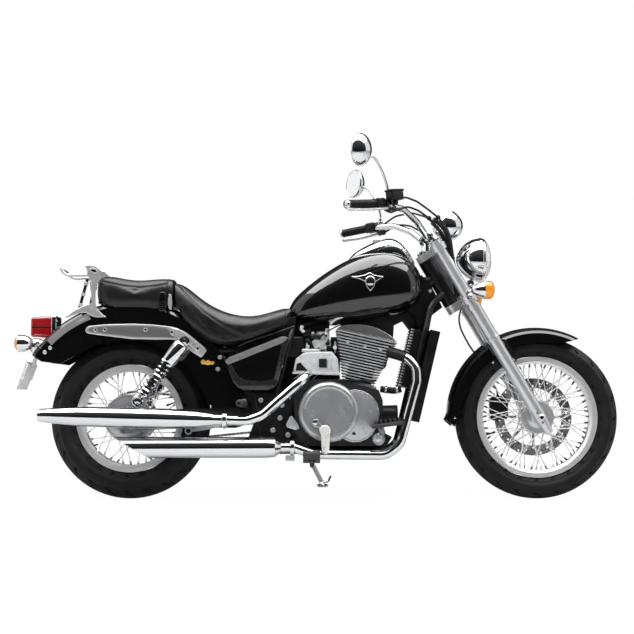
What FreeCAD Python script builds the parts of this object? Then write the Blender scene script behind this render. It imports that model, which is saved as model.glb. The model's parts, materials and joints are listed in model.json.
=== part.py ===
import FreeCAD, Part
import math
import os

V = FreeCAD.Vector

# Every size is in millimetres. The motorcycle is drawn upright: x forward from the rear axle,
# y to its left, z up from the road. At the end it is leaned onto its side stand.
lean_deg = 7.0

# Wheels
wheelbase = 1640.0
front_tyre_r = 328.0
front_tyre_w = 110.0
front_rim_r = 243.0
rear_tyre_r = 323.0
rear_tyre_w = 150.0
rear_rim_r = 216.0
tyre_crown_r = 52.0
wide_tyre_extra = 18.0
rim_wall = 4.0
rim_depth = 24.0
front_rim_w = 74.0
rear_rim_w = 96.0
axle_r = 10.0
running_gap = 0.1
seat_gap = 0.3
spoke_r = 1.9
front_spokes = 60
rear_spokes = 40
spoke_cross_deg = 38.0
hub_barrel_r = 28.0
front_hub_half = 56.0
front_flange_y = 34.0
front_flange_r = 67.0
rear_hub_half = 70.0
rear_flange_y = 40.0
rear_flange_r = 74.0
flange_t = 6.0
front_disc_r = 158.0
front_disc_inner_r = 118.0
front_disc_t = 5.0
front_disc_y = 64.0
sprocket_r = 96.0
sprocket_t = 7.0
chain_y = 88.0

# Steering
rake_deg = 30.5
clamp_offset = 60.0
fork_half = 105.0
fork_tube_r = 23.0
fork_cover_r = 26.5
fork_slider_r = 25.5
clamp_t = 28.0
upper_clamp_z = 1006.0
lower_clamp_z = 800.0
slider_top_z = 640.0
fork_drop = 62.0
stem_r = 15.0
head_tube_r = 30.0
bearing_gap = 1.0

# Mudguards
front_guard_r = 363.0
front_guard_half = 74.0
front_guard_skirt = 66.0
front_guard_front_deg = 62.0
front_guard_rear_deg = 176.0
guard_wall = 3.0
rear_guard_r = 475.0
rear_guard_half = 97.0
rear_guard_skirt = 165.0
rear_guard_front_deg = 6.0
rear_guard_rear_deg = 147.0

# Frame
frame_tube_r = 14.0
backbone_r = 25.0
cradle_half = 105.0
cradle_z = 197.0
cradle_rear_half = 115.0

# Engine
crank_x = 878.0
crank_z = 320.0
case_right_y = -150.0
case_left_y = 140.0
front_tilt_deg = 12.8
rear_tilt_deg = -40.0
fin_count = 17
fin_t = 4.4
barrel_base = 150.0
head_top = 341.0
fin_half_y = 104.0
clutch_x = 799.0
clutch_z = 349.0
clutch_r = 120.0
clutch_face_y = -192.0

# Exhaust
pipe_r = 19.0
pipe_wall = 2.0
upper_muffler_y = -200.0
upper_muffler_r = 41.0
lower_muffler_y = -172.0
lower_muffler_r = 41.0
lower_muffler_z = 211.0

# Bodywork
tank_half = 146.0
tunnel_half = 34.0
seat_half = 150.0
pillion_half = 118.0
rail_t = 9.0

# Side stand
stand_pivot = (722.0, 118.0, 158.0)
stand_foot_y = 262.0
stand_foot_x = 776.0
stand_r = 10.5
stand_pin_r = 5.0

rake = math.radians(rake_deg)
lean = math.radians(lean_deg)
front_axle = V(wheelbase, 0, front_tyre_r)
rear_axle = V(0, 0, rear_tyre_r)
steer_down = V(math.sin(rake), 0, -math.cos(rake))
steer_ahead = V(math.cos(rake), 0, math.sin(rake))


def once(make):
    """Keeps a shape that several neighbours are fitted to."""
    kept = []

    def get():
        if not kept:
            kept.append(make())
        return kept[0]

    return get


def leg_point(z, y=0.0):
    """The point of a fork leg's axis at height z."""
    return V(wheelbase - (z - front_tyre_r) * math.tan(rake), y, z)


steer_top = leg_point(upper_clamp_z) - steer_ahead * clamp_offset
steer_low = leg_point(lower_clamp_z) - steer_ahead * clamp_offset


def unit(v):
    return V(v) * (1.0 / v.Length)


def rod(a, b, r, r2=None):
    """A round bar from a to b, tapered to r2 where that is given."""
    a, b = V(*a), V(*b)
    if r2 is None:
        return Part.makeCylinder(r, (b - a).Length, a, b - a)
    return Part.makeCone(r, r2, (b - a).Length, a, b - a)


def ring(a, b, outer, inner):
    """A round sleeve from a to b."""
    a, b = V(*a), V(*b)
    reach = unit(b - a)
    return rod(a, b, outer).cut(rod(a - reach, b + reach, inner))


def block(x0, x1, y0, y1, z0, z1):
    return Part.makeBox(x1 - x0, y1 - y0, z1 - z0, V(x0, y0, z0))


def bent_path(points, bend):
    """Straight runs joined by tangent arcs."""
    pts = [V(*p) for p in points]
    edges = []
    start = pts[0]
    for a, b, c in zip(pts, pts[1:], pts[2:]):
        u, w = unit(a - b), unit(c - b)
        half = (math.pi - u.getAngle(w)) / 2
        r = min(bend, 0.45 * min((a - b).Length, (c - b).Length) / math.tan(half))
        cut = r * math.tan(half)
        middle = b + unit(u + w) * (r / math.cos(half) - r)
        edges.append(Part.LineSegment(start, b + u * cut).toShape())
        edges.append(Part.Arc(b + u * cut, middle, b + w * cut).toShape())
        start = b + w * cut
    edges.append(Part.LineSegment(start, pts[-1]).toShape())
    return Part.Wire(edges)


def tube(points, r, bend=60.0, inner=None):
    """A round bar or pipe bent along points."""
    path = bent_path(points, bend)
    start, way = V(*points[0]), V(*points[1]) - V(*points[0])
    profile = Part.Wire([Part.Circle(start, way, r).toShape()])
    body = path.makePipeShell([profile], True, False)
    if inner is not None:
        bore = Part.Wire([Part.Circle(start, way, inner).toShape()])
        body = body.cut(path.makePipeShell([bore], True, False))
    return body


def outline_face(points, y):
    """A flat face in the side view from (x, z) points."""
    return Part.Face(Part.makePolygon([V(x, y, z) for x, z in list(points) + [points[0]]]))


def plate(points, y0, y1):
    """A side-view outline with straight edges, as thick as from y0 to y1."""
    return outline_face(points, min(y0, y1)).extrude(V(0, abs(y1 - y0), 0))


def smooth_plate(points, y0, y1):
    """A side-view outline with a smooth closed edge, as thick as from y0 to y1."""
    curve = Part.BSplineCurve()
    curve.interpolate([V(x, min(y0, y1), z) for x, z in points], True)
    return Part.Face(Part.Wire([curve.toShape()])).extrude(V(0, abs(y1 - y0), 0))


def spun(profile, centre, axis, side):
    """A solid of revolution: profile holds (along the axis, radius) pairs."""
    axis, side = unit(V(*axis)), unit(V(*side))
    pts = [V(*centre) + axis * a + side * r for a, r in profile]
    face = Part.Face(Part.makePolygon(pts + [pts[0]]))
    return face.revolve(V(*centre), axis, 360)


def oval(x, z_low, z_high, half, square=2.4, count=18, belly=0.5):
    """A closed cross-section at x: belly is the height share at which it is widest."""
    mid = z_low + (z_high - z_low) * belly
    pts = []
    for i in range(count):
        a = 2 * math.pi * i / count
        c, s = math.cos(a), math.sin(a)
        w = abs(c) ** (2 / square) * (1 if c >= 0 else -1)
        h = abs(s) ** (2 / square) * (1 if s >= 0 else -1)
        pts.append(V(x, half * w, mid + h * ((z_high - mid) if s >= 0 else (mid - z_low))))
    curve = Part.BSplineCurve()
    curve.interpolate(pts, True)
    return Part.Wire([curve.toShape()])


def skin(sections, **shape):
    """A smooth solid through ovals given as (x, z_low, z_high, half width)."""
    return Part.makeLoft([oval(*s, **shape) for s in sections], True, False)


def fused(parts):
    parts = list(parts)
    return parts[0].multiFuse(parts[1:]) if len(parts) > 1 else parts[0]


def mirrored(shape):
    return shape.mirror(V(0, 0, 0), V(0, 1, 0))


def both(shape):
    """The shape and its mirror image on the other side, as separate solids."""
    return Part.makeCompound([shape, mirrored(shape)])


# Wheels

def tyre(centre, r, width, rim_r, rim_w):
    """A round-crowned tyre seated on its rim."""
    crown = tyre_crown_r if width < 130 else tyre_crown_r + wide_tyre_extra
    half = width / 2
    bead = rim_w / 2 - rim_wall - seat_gap
    seat = rim_r - 14
    def at(y, radius):
        return centre + V(0, y, radius)
    dip = crown - math.sqrt(max(crown * crown - (half * 0.82) ** 2, 0))
    shoulder = r - dip
    side = (seat + shoulder) / 2
    lip = rim_r + 2
    edges = [
        Part.Arc(at(-half * 0.82, shoulder), at(0, r), at(half * 0.82, shoulder)).toShape(),
        Part.Arc(at(half * 0.82, shoulder), at(half, side + 16), at(bead, lip)).toShape(),
        Part.LineSegment(at(bead, lip), at(bead, seat)).toShape(),
        Part.LineSegment(at(bead, seat), at(-bead, seat)).toShape(),
        Part.LineSegment(at(-bead, seat), at(-bead, lip)).toShape(),
        Part.Arc(at(-bead, lip), at(-half, side + 16), at(-half * 0.82, shoulder)).toShape(),
    ]
    return Part.Face(Part.Wire(edges)).revolve(centre, V(0, 1, 0), 360)


def rim(centre, r, width):
    """A drop-centre rim for wire spokes."""
    half = width / 2
    seat = r - 14 - seat_gap
    well = r - rim_depth - rim_wall
    outside = [(-half, r), (-half + rim_wall, r), (-half + rim_wall, seat), (-half * 0.55, seat)]
    outside += [(-half * 0.35, well + rim_wall), (half * 0.35, well + rim_wall), (half * 0.55, seat)]
    outside += [(half - rim_wall, seat), (half - rim_wall, r), (half, r)]
    inside = [(half, seat - rim_wall), (half * 0.6, seat - rim_wall), (half * 0.38, well)]
    inside += [(-half * 0.38, well), (-half * 0.6, seat - rim_wall), (-half, seat - rim_wall)]
    return spun(outside + inside, centre, (0, 1, 0), (0, 0, 1))


def wheel_spokes(centre, count, flange_y, flange_r, rim_r):
    """Crossed wire spokes from both flanges to the rim's well."""
    end_r = rim_r - rim_depth - rim_wall / 2
    root_r = flange_r - 5
    wires = []
    for i in range(count):
        side = 1 if i % 2 == 0 else -1
        lean_way = 1 if (i // 2) % 2 == 0 else -1
        a = 2 * math.pi * i / count
        b = a + lean_way * math.radians(spoke_cross_deg)
        y = side * (flange_y + lean_way * 4.0)
        root = centre + V(root_r * math.sin(b), y, root_r * math.cos(b))
        tip = centre + V(end_r * math.sin(a), side * 6.0, end_r * math.cos(a))
        wires.append(rod(root, tip, spoke_r))
    return wires


def laced_wheel(centre, half, flange_y, flange_r, count, rim_r, rim_w):
    """A rim and a spool hub, bored for its axle, joined by their spokes."""
    f, t = flange_y, flange_t
    profile = [(-half, axle_r + running_gap), (half, axle_r + running_gap), (half, hub_barrel_r)]
    inner = flange_r - 16
    profile += [(f + t + 8, hub_barrel_r), (f + t, flange_r - 8), (f + t, flange_r), (f - t, flange_r), (f - t, inner)]
    profile += [(t - f, inner), (t - f, flange_r), (-f - t, flange_r), (-f - t, flange_r - 8), (-f - t - 8, hub_barrel_r)]
    profile += [(-half, hub_barrel_r)]
    spool = spun(profile, centre, (0, 1, 0), (0, 0, 1))
    wires = wheel_spokes(centre, count, flange_y, flange_r, rim_r)
    return fused([spool, rim(centre, rim_r, rim_w)] + wires)


def front_disc():
    """A drilled brake rotor on the left of the front hub, with its carrier."""
    c = front_axle
    y0 = front_disc_y - front_disc_t / 2
    y1 = front_disc_y + front_disc_t / 2
    plate_ring = ring(c + V(0, y0, 0), c + V(0, y1, 0), front_disc_r, front_disc_inner_r)
    inner = hub_barrel_r + 8
    bell = ring(c + V(0, front_hub_half + seat_gap, 0), c + V(0, y1, 0), inner + 14, hub_barrel_r - 6)
    arms = []
    for i in range(8):
        bar = block(-5, 5, y0 + 1, y1 - 1, inner, front_disc_inner_r + 6)
        bar.rotate(V(0, 0, 0), V(0, 1, 0), 360 * i / 8)
        bar.translate(c)
        arms.append(bar)
    holes = []
    for i in range(30):
        a = 2 * math.pi * i / 30
        r = front_disc_inner_r + 8 + 12 * (i % 3)
        at = c + V(r * math.sin(a), 0, r * math.cos(a))
        holes.append(rod(at + V(0, y0 - 2, 0), at + V(0, y1 + 2, 0), 4.0))
    return fused([plate_ring, bell] + arms).cut(Part.makeCompound(holes))


def sprocket():
    """The driven sprocket on the left of the rear hub."""
    c = rear_axle
    y0 = chain_y - sprocket_t / 2
    wheel = ring(c + V(0, y0, 0), c + V(0, y0 + sprocket_t, 0), sprocket_r, axle_r + 14)
    carrier = ring(
        c + V(0, rear_hub_half + seat_gap, 0), c + V(0, y0, 0), hub_barrel_r + 16, axle_r + 14
    )
    holes = [
        rod(
            c + V(70 * math.sin(a), y0 - 2, 70 * math.cos(a)),
            c + V(70 * math.sin(a), y0 + sprocket_t + 2, 70 * math.cos(a)),
            13.0,
        )
        for a in [2 * math.pi * i / 6 for i in range(6)]
    ]
    return fused([wheel, carrier]).cut(Part.makeCompound(holes))


# Steering assembly

@once
def fork_clamps():
    """Upper and lower clamps on the steering stem, with the front axle that the legs hold."""
    shapes = []
    for z, t in ((upper_clamp_z, clamp_t), (lower_clamp_z, clamp_t + 6)):
        mid = leg_point(z)
        bar = rod(mid - steer_down * (t / 2) + V(0, 0, 0), mid + steer_down * (t / 2), 20)
        for side in (-1, 1):
            at = mid + V(0, side * fork_half, 0)
            lug = rod(at - steer_down * (t / 2), at + steer_down * (t / 2), fork_tube_r + 9)
            bar = bar.fuse(lug)
        stem_at = mid - steer_ahead * clamp_offset
        boss = rod(stem_at - steer_down * (t / 2), stem_at + steer_down * (t / 2), 30)
        corners = [stem_at + V(0, -27, 0), mid + V(0, -fork_half - 8, 0)]
        corners += [mid + V(0, fork_half + 8, 0), stem_at + V(0, 27, 0)]
        web = Part.Face(Part.makePolygon([p - steer_down * (t / 2) for p in corners + [corners[0]]]))
        shapes.append(fused([bar, boss, web.extrude(steer_down * t)]))
    stem = rod(steer_top - steer_down * (clamp_t / 2), steer_low + steer_down * (clamp_t / 2), stem_r)
    yoke = fused(shapes + [stem])
    for side in (-1, 1):
        a = leg_point(upper_clamp_z + 60, side * fork_half)
        b = leg_point(lower_clamp_z - 60, side * fork_half)
        yoke = yoke.cut(rod(a, b, fork_tube_r + running_gap))
    return yoke


def fork_leg(side):
    """One telescopic leg: inner tube, cover and slider down to the axle lug."""
    y = side * fork_half
    cover_top = lower_clamp_z - (clamp_t + 6) / 2 / math.cos(rake) - 4
    tube_part = rod(leg_point(upper_clamp_z + 22, y), leg_point(slider_top_z, y), fork_tube_r)
    cover = rod(leg_point(cover_top, y), leg_point(slider_top_z, y), fork_cover_r)
    slider = rod(leg_point(slider_top_z + 1, y), leg_point(front_tyre_r - 6, y), fork_slider_r)
    collar = rod(leg_point(cover_top, y), leg_point(cover_top - 16, y), fork_cover_r + 3)
    cap = rod(leg_point(upper_clamp_z + 21, y), leg_point(upper_clamp_z + 27, y), fork_tube_r - 4)
    tip_z = front_tyre_r - fork_drop
    toe = rod(leg_point(front_tyre_r - 4, y), leg_point(tip_z, y), fork_slider_r, fork_slider_r * 0.62)
    leg = fused([tube_part, cover, slider, toe, collar, cap])
    return leg


def fork_legs():
    reach = V(0, fork_half + fork_slider_r + 3, 0)
    axle = rod(front_axle - reach, front_axle + reach, axle_r)
    spacers = []
    for side in (-1, 1):
        near = front_axle + V(0, side * (front_hub_half + bearing_gap), 0)
        far = front_axle + V(0, side * (fork_half - fork_slider_r + 4), 0)
        spacers.append(rod(near, far, 15))
    return fused([fork_leg(-1), fork_leg(1), axle] + spacers)


def guard_section(r, half, skirt, wall):
    """An upturned channel: a crowned top with side skirts, as (y, radius) pairs."""
    crown = []
    for i in range(9):
        a = math.radians(90 - i * 22.5)
        crown.append((half * math.sin(a), r - 26 + 26 * math.cos(a)))
    low = r - skirt
    outer = [(half, low)] + crown + [(-half, low)]
    inner = [(-half + wall, low)]
    inner += [(y * (half - wall) / half, radius - wall) for y, radius in reversed(crown)]
    inner += [(half - wall, low)]
    return outer + inner


def swept_guard(centre, section, start_deg, end_deg):
    """A channel spun about the wheel's axle from one angle to another, above the ground."""
    a = math.radians(start_deg)
    radial = V(math.cos(a), 0, math.sin(a))
    pts = [centre + V(0, y, 0) + radial * r for y, r in section]
    face = Part.Face(Part.makePolygon(pts + [pts[0]]))
    return face.revolve(centre, V(0, -1, 0), end_deg - start_deg)


@once
def front_guard():
    section = guard_section(front_guard_r, front_guard_half, front_guard_skirt, guard_wall)
    body = swept_guard(front_axle, section, front_guard_front_deg, front_guard_rear_deg)
    a = math.radians(front_guard_rear_deg)
    end = front_axle + V(math.cos(a), 0, math.sin(a)) * front_guard_r
    flare = 62.0
    pts = [front_axle + V(0, y, 0) + V(math.cos(a), 0, math.sin(a)) * r for y, r in section]
    face = Part.Face(Part.makePolygon(pts + [pts[0]]))
    hinge = end + V(math.cos(a), 0, math.sin(a)) * flare
    body = body.fuse(face.revolve(hinge, V(0, 1, 0), 34))
    reach = front_guard_r + 70
    trim = [
        (wheelbase - reach - 40, front_tyre_r - 62),
        (wheelbase - reach + 90, front_tyre_r - 62),
        (wheelbase - 320, front_tyre_r + 20),
        (wheelbase - 286, front_tyre_r + 92),
        (wheelbase - 190, front_tyre_r + 218),
        (wheelbase - 60, front_tyre_r + 292),
        (wheelbase + 60, front_tyre_r + 298),
        (wheelbase + 128, front_tyre_r + 303),
        (wheelbase + 184, front_tyre_r + 318),
        (wheelbase + 184, front_tyre_r + reach),
        (wheelbase - reach - 40, front_tyre_r + reach),
    ]
    body = body.common(plate(trim, -front_guard_half - 5, front_guard_half + 5))
    stays = []
    for side in (-1, 1):
        for z in (front_tyre_r + 290, front_tyre_r + 262):
            at = leg_point(z)
            stays.append(
                rod(
                    V(at.x, side * (front_guard_half - 1), at.z),
                    V(at.x, side * (fork_half - fork_slider_r + 2), at.z),
                    9,
                )
            )
    legs = [rod(leg_point(720, s * fork_half), leg_point(front_tyre_r, s * fork_half), fork_slider_r + seat_gap)
            for s in (-1, 1)]
    return fused([body] + stays).cut(Part.makeCompound(legs))


@once
def caliper():
    """A two-piston caliper behind the left fork leg, astride the rotor."""
    c = front_axle
    a = math.radians(166)
    at = c + V(math.cos(a), 0, math.sin(a)) * (front_disc_r - 16)
    gap = front_disc_t / 2 + 5
    body = block(at.x - 34, at.x + 34, front_disc_y - gap - 18, front_disc_y + gap + 24, at.z - 52, at.z + 52)
    slot_r = front_disc_r + 6
    slot = rod(c + V(0, front_disc_y - gap, 0), c + V(0, front_disc_y + gap, 0), slot_r)
    bore = rod(at + V(4, front_disc_y + gap + 4, 0), at + V(4, front_disc_y + gap + 34, 0), 22)
    arm = plate(
        [(at.x + 8, at.z + 6), (at.x + 20, at.z + 50), (c.x - 92, c.z + 150), (c.x - 70, c.z + 118)],
        front_disc_y + gap + 1,
        front_disc_y + gap + 12,
    )
    shape = fused([body.cut(slot), bore, arm])
    leg = rod(leg_point(720, fork_half), leg_point(front_tyre_r, fork_half), fork_slider_r + seat_gap)
    return shape.cut(leg)


bar_r = 12.7
bar_half_path = [
    (1200.0, 0.0, 1048.0),
    (1200.0, 66.0, 1048.0),
    (1150.0, 150.0, 1104.0),
    (1088.0, 240.0, 1142.0),
    (992.0, 330.0, 1148.0),
    (876.0, 402.0, 1134.0),
]


@once
def handlebar():
    """A pulled-back bar in two risers."""
    left = tube(bar_half_path, bar_r, 70)
    bar = left.fuse(mirrored(left))
    risers = []
    for side in (-1, 1):
        foot = steer_top + steer_ahead * 22 + V(0, side * 48, 0) - steer_down * (clamp_t / 2)
        top = V(bar_half_path[0][0], side * 48, bar_half_path[0][2])
        risers.append(rod(foot, top, 15))
        risers.append(rod(top - V(0, 14, 0), top + V(0, 14, 0), 22))
    return fused([bar] + risers).cut(fork_clamps())


grip_start = 0.12
grip_r = 17.0


def grip(side):
    a = V(*bar_half_path[-2])
    b = V(*bar_half_path[-1])
    way = unit(b - a)
    start = a + way * 22
    end = b + way * 8
    sleeve = rod(start, end, grip_r).cut(rod(start - way, b, bar_r + running_gap))
    return sleeve if side > 0 else mirrored(sleeve)


def hand_control(side):
    """Switch block, lever perch and lever, with the fluid reservoir on the right."""
    a = V(*bar_half_path[-2])
    b = V(*bar_half_path[-1])
    way = unit(b - a)
    at = V(*bar_half_path[-3]) + (a - V(*bar_half_path[-3])) * 0.55
    ahead = unit(way.cross(V(0, 0, 1))) * -1
    if ahead.x < 0:
        ahead = ahead * -1
    pod = rod(a - way * 26, a + way * 20, 24)
    perch = rod(at, at + ahead * 42, 14)
    knuckle = rod(at + ahead * 30, at + ahead * 58, 11)
    hinge_at = at + ahead * 50
    lever = tube(
        [hinge_at, hinge_at + way * 60 + ahead * 10, hinge_at + way * 130 + ahead * 8, hinge_at + way * 195 + ahead * 14],
        6.5,
        60,
    )
    collar = rod(at - way * 14, at + way * 14, 21)
    shape = fused([pod, perch, knuckle, lever, collar])
    if side < 0:
        cup = rod(at + V(24, 6, 12), at + V(24, 6, 48), 27)
        shape = shape.fuse(cup)
    bar = tube(bar_half_path, bar_r + running_gap, 70)
    shape = shape.cut(bar)
    shape = shape.cut(rod(a + way * (22 - seat_gap), b + way * 20, grip_r + seat_gap))
    return shape if side > 0 else mirrored(shape)


def mirror_pair():
    """Two round-backed mirrors on curved stalks."""
    foot = V(1028.0, 298.0, 1164.0)
    head = V(913.0, 372.0, 1350.0)
    stalk = tube([foot, (1028, 300, 1200), (994, 326, 1292), (968, 346, 1327), (926, 368, 1330)], 5.0, 40)
    face_way = unit(V(-0.80, -0.58, 0.10))
    side = unit(face_way.cross(V(0, 1, 0)))
    profile = [(0, 0), (0, 51), (-3, 54), (-10, 54), (-24, 47), (-38, 32), (-48, 14), (-50, 0)]
    shell = spun(profile, head, face_way, side)
    stretch = FreeCAD.Matrix()
    stretch.scale(1.0, 1.0, 1.17)
    shell.translate(head * -1)
    shell = shell.transformGeometry(stretch)
    shell.translate(head)
    left = fused([shell, stalk])
    bar_clear = tube(bar_half_path, bar_r + seat_gap, 70)
    right = mirrored(left.cut(bar_clear)).cut(hand_control(-1))
    return Part.makeCompound([left.cut(bar_clear).cut(hand_control(1)), right])


lamp_x = 1416.0
lamp_z = 968.0
lamp_r = 89.0
lamp_depth = 94.0


def headlight():
    """A round chromed bucket with its bezel and the bracket to the lower clamp."""
    c = V(lamp_x, 0, lamp_z)
    r = lamp_r
    profile = [(22, r - 8), (22, r - 3), (14, r), (-6, r), (-30, r - 5), (-54, r - 19), (-76, r - 42), (-90, r - 66)]
    profile += [(-lamp_depth, 0), (-lamp_depth + 6, 0), (-84, r - 68), (-72, r - 47), (-50, r - 25), (-28, r - 11)]
    profile += [(-6, r - 8)]
    bucket = spun(profile, c, (1, 0, 0), (0, 0, 1))
    arm_root = leg_point(lower_clamp_z + 4)
    bracket = tube([arm_root + V(16, 0, 2), (lamp_x - 52, 0, lamp_z - 118), (lamp_x - 40, 0, lamp_z - r + 14)], 10, 30)
    visor = plate(
        [(lamp_x - 56, lamp_z + r - 20), (lamp_x - 40, lamp_z + r + 20), (lamp_x + 14, lamp_z + r + 22),
         (lamp_x + 20, lamp_z + r - 3), (lamp_x - 20, lamp_z + r - 4)],
        -30,
        30,
    )
    hollow = spun([(-lamp_depth + 6, 0), (-84, r - 68), (-72, r - 47), (-50, r - 25), (-28, r - 11), (-6, r - 8), (24, r - 8),
                   (24, 0)], c, (1, 0, 0), (0, 0, 1))
    return fused([bucket, bracket.cut(hollow), visor.cut(hollow)]).cut(fork_clamps())


def headlight_lens():
    c = V(lamp_x, 0, lamp_z)
    r = lamp_r - 8 - seat_gap
    profile = [(10, 0), (10, r), (22, r), (36, r * 0.86), (44, r * 0.6), (48, r * 0.3), (49, 0)]
    return spun(profile, c, (1, 0, 0), (0, 0, 1))


def speedometer():
    """A chromed cup with its face to the rider."""
    c = V(1290.0, 0, 1108.0)
    way = unit(V(-0.66, 0, 0.75))
    profile = [(30, 0), (30, 50), (34, 52), (34, 56), (24, 58), (10, 60), (-8, 60), (-26, 55), (-42, 43), (-54, 26), (-60, 0)]
    cup = spun(profile, c, way, V(0, 1, 0))
    foot = tube([c - V(14, 0, 40), c - V(34, 0, 76), steer_top + steer_ahead * 46 - steer_down * (clamp_t / 2)], 9, 20)
    return fused([cup, foot]).cut(Part.makeCompound([handlebar(), fork_clamps()]))


def front_signal(side):
    """A bullet indicator on a stalk from the lower clamp."""
    c = V(1417.0, side * 190, 828.0)
    profile = [(-58, 0), (-58, 8), (-46, 19), (-30, 28), (-12, 35), (0, 37), (22, 36), (29, 30), (33, 18), (34, 0)]
    bullet = spun(profile, c, (1, 0, 0), (0, 0, 1))
    root = leg_point(lower_clamp_z, side * (fork_half + fork_tube_r + 6))
    stalk = rod(root, c + V(-40, 0, 0), 7)
    return fused([bullet, stalk]).cut(fork_clamps())


def control_cables():
    """Hoses and cables that the handlebar and the headlight hold."""
    runs = [
        [(1046, -300, 1160), (1092, -268, 1186), (1147, -204, 1177), (1191, -150, 1157), (1240, -98, 1130),
         (1274, -68, 1096), (1296, -54, 1046), (1308, -48, 960), (1328, -48, 816)],
        [(1040, -296, 1120), (1104, -256, 1150), (1152, -200, 1142), (1200, -140, 1120), (1244, -92, 1086),
         (1280, -60, 1034), (1302, -32, 960), (1324, -26, 814)],
        [(1046, 300, 1160), (1090, 272, 1190), (1160, 212, 1196), (1216, 130, 1164), (1256, 84, 1112),
         (1288, 62, 1046), (1306, 56, 950), (1328, 48, 816)],
        [(1040, 296, 1120), (1104, 256, 1152), (1152, 180, 1134), (1212, 100, 1086), (1262, 66, 1050),
         (1296, 52, 986), (1310, 34, 900), (1323, 26, 812)],
    ]
    bar_clear = tube(bar_half_path, bar_r + seat_gap, 70)
    keep = Part.makeCompound([hand_control(1), hand_control(-1), fork_clamps(), bar_clear, mirrored(bar_clear)])
    return [tube(run, 4.0, 90).cut(keep) for run in runs]


# Frame and engine

def head_tube():
    gap = bearing_gap
    top = steer_top + steer_down * (clamp_t / 2 + gap)
    low = steer_low - steer_down * ((clamp_t + 6) / 2 + gap)
    return top, low


@once
def frame():
    """Head tube, backbone, twin cradle and seat rails, welded into one."""
    top, low = head_tube()
    parts = [rod(top, low, head_tube_r)]
    along = top + (low - top) * 0.42
    parts.append(tube([along, (960, 0, 796), (700, 0, 706), (560, 0, 640), (430, 0, 600)], backbone_r, 160))
    parts.append(tube([top + (low - top) * 0.80, (1120, 0, 772), (960, 0, 768)], 16, 60))
    for side in (-1, 1):
        h = side * cradle_half
        foot = top + (low - top) * 0.72
        cradle = [
            (foot.x, side * 12, foot.z),
            (1208, side * 62, 770),
            (1186, side * 100, 670),
            (1100, h, 305),
            (1074, h, cradle_z),
            (552, side * cradle_rear_half, cradle_z),
            (519, side * cradle_rear_half, 330),
            (440, side * 92, 592),
        ]
        parts.append(tube(cradle, frame_tube_r, 70))
        parts.append(tube([(640, 0, 676), (560, side * 70, 640), (430, side * 84, 596), (262, side * 84, 592)], 12, 60))
        parts.append(tube([(664, side * 6, 692), (655, side * 70, 678), (637, side * 103, 620), (609, side * 105, 495),
                           (588, side * 108, 405)], 13, 60))
        parts.append(plate([(1176, 905), (1212, 868), (1262, 772), (1222, 742), (1192, 690), (1164, 690), (1146, 742), (1100, 776),
                            (1130, 838)], side * 26, side * 34))
    parts.append(rod((440, -92, 590), (440, 92, 590), 12))
    parts.append(rod((553, -cradle_rear_half, cradle_z + 2), (553, cradle_rear_half, cradle_z + 2), 12))
    parts.append(rod((1074, -cradle_half, cradle_z + 30), (1074, cradle_half, cradle_z + 30), 10))
    for side in (-1, 1):
        h = side * cradle_rear_half
        gusset = plate([(492, 300), (600, 282), (652, 318), (654, 372), (632, 420), (488, 426)], h - 5, h + 5)
        parts.append(gusset)
        parts.append(plate([(478, 386), (506, 400), (470, 470), (452, 462)], h - 6, h + 3))
        parts.append(plate([(478, 240), (560, 204), (640, 216), (652, 262), (620, 330), (600, 300), (500, 300)], h - 5, h + 5))
    body = fused(parts)
    pivot = rod((swing_x, -160, swing_z), (swing_x, 160, swing_z), 11 + running_gap)
    body = body.cut(pivot)
    body = body.cut(rod(top - steer_down * 2, low + steer_down * 2, stem_r + running_gap))
    px, py, pz = stand_pivot
    lug = plate([(px - 26, cradle_z + 4), (px + 26, cradle_z + 4), (px + 16, pz - 10), (px - 16, pz - 10)], py - 23, py - 15)
    pin_root = V(px, py, pz) - stand_axis() * 20
    pin = rod(pin_root, V(px, py, pz) + stand_axis() * 10, stand_pin_r)
    head = rod(V(px, py, pz) + stand_axis() * 7.5, V(px, py, pz) + stand_axis() * 11, 11)
    body = fused([body, lug, pin, head])
    return body


swing_x = 560.0
swing_z = 322.0


@once
def swingarm():
    """Two box arms, their pivot tube and cross brace, with the rear axle."""
    arms = []
    for side in (-1, 1):
        inner, outer = side * 100, side * 130
        arms.append(plate([(-52, 300), (-52, 346), (60, 356), (430, 366), (470, 352), (470, 300), (430, 286), (60, 292)],
                          inner, outer))
    for side in (-1, 1):
        arms.append(plate([(440, 300), (470, 300), (swing_x + 26, swing_z - 24), (swing_x + 26, swing_z + 24), (470, 352), (440, 352)],
                          side * 68, side * 92))
        arms.append(plate([(432, 302), (468, 302), (468, 350), (432, 350)], side * 68, side * 129))
    brace = rod((440, -100, 326), (440, 100, 326), 22)
    pivot = rod((swing_x, -92, swing_z), (swing_x, 92, swing_z), 20)
    axle = rod((0, -140, rear_tyre_r), (0, 140, rear_tyre_r), axle_r)
    spacer = rod((0, rear_hub_half + bearing_gap, rear_tyre_r), (0, 104, rear_tyre_r), 14)
    spindle = rod((swing_x, -126, swing_z), (swing_x, 126, swing_z), 11)
    return fused(arms + [brace, pivot, axle, spacer, spindle])


def brake_panel():
    """The rear drum brake's fixed panel, on the right of the hub."""
    c = rear_axle
    y0 = -(rear_hub_half + 5)
    bore = axle_r + running_gap
    disc = spun([(0, bore), (0, 84), (-10, 96), (-15, 96), (-19, 88), (-21, 60), (-24, 30), (-24, bore)],
                c + V(0, y0, 0), (0, 1, 0), (0, 0, 1))
    arm = plate([(-34, 262), (-16, 252), (96, 276), (92, 290), (-8, 276)], y0 - 24, y0 - 17)
    peg = rod((-22, y0 - 12, 268), (-22, y0 - 25, 268), 11)
    return fused([disc, arm, peg])


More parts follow.
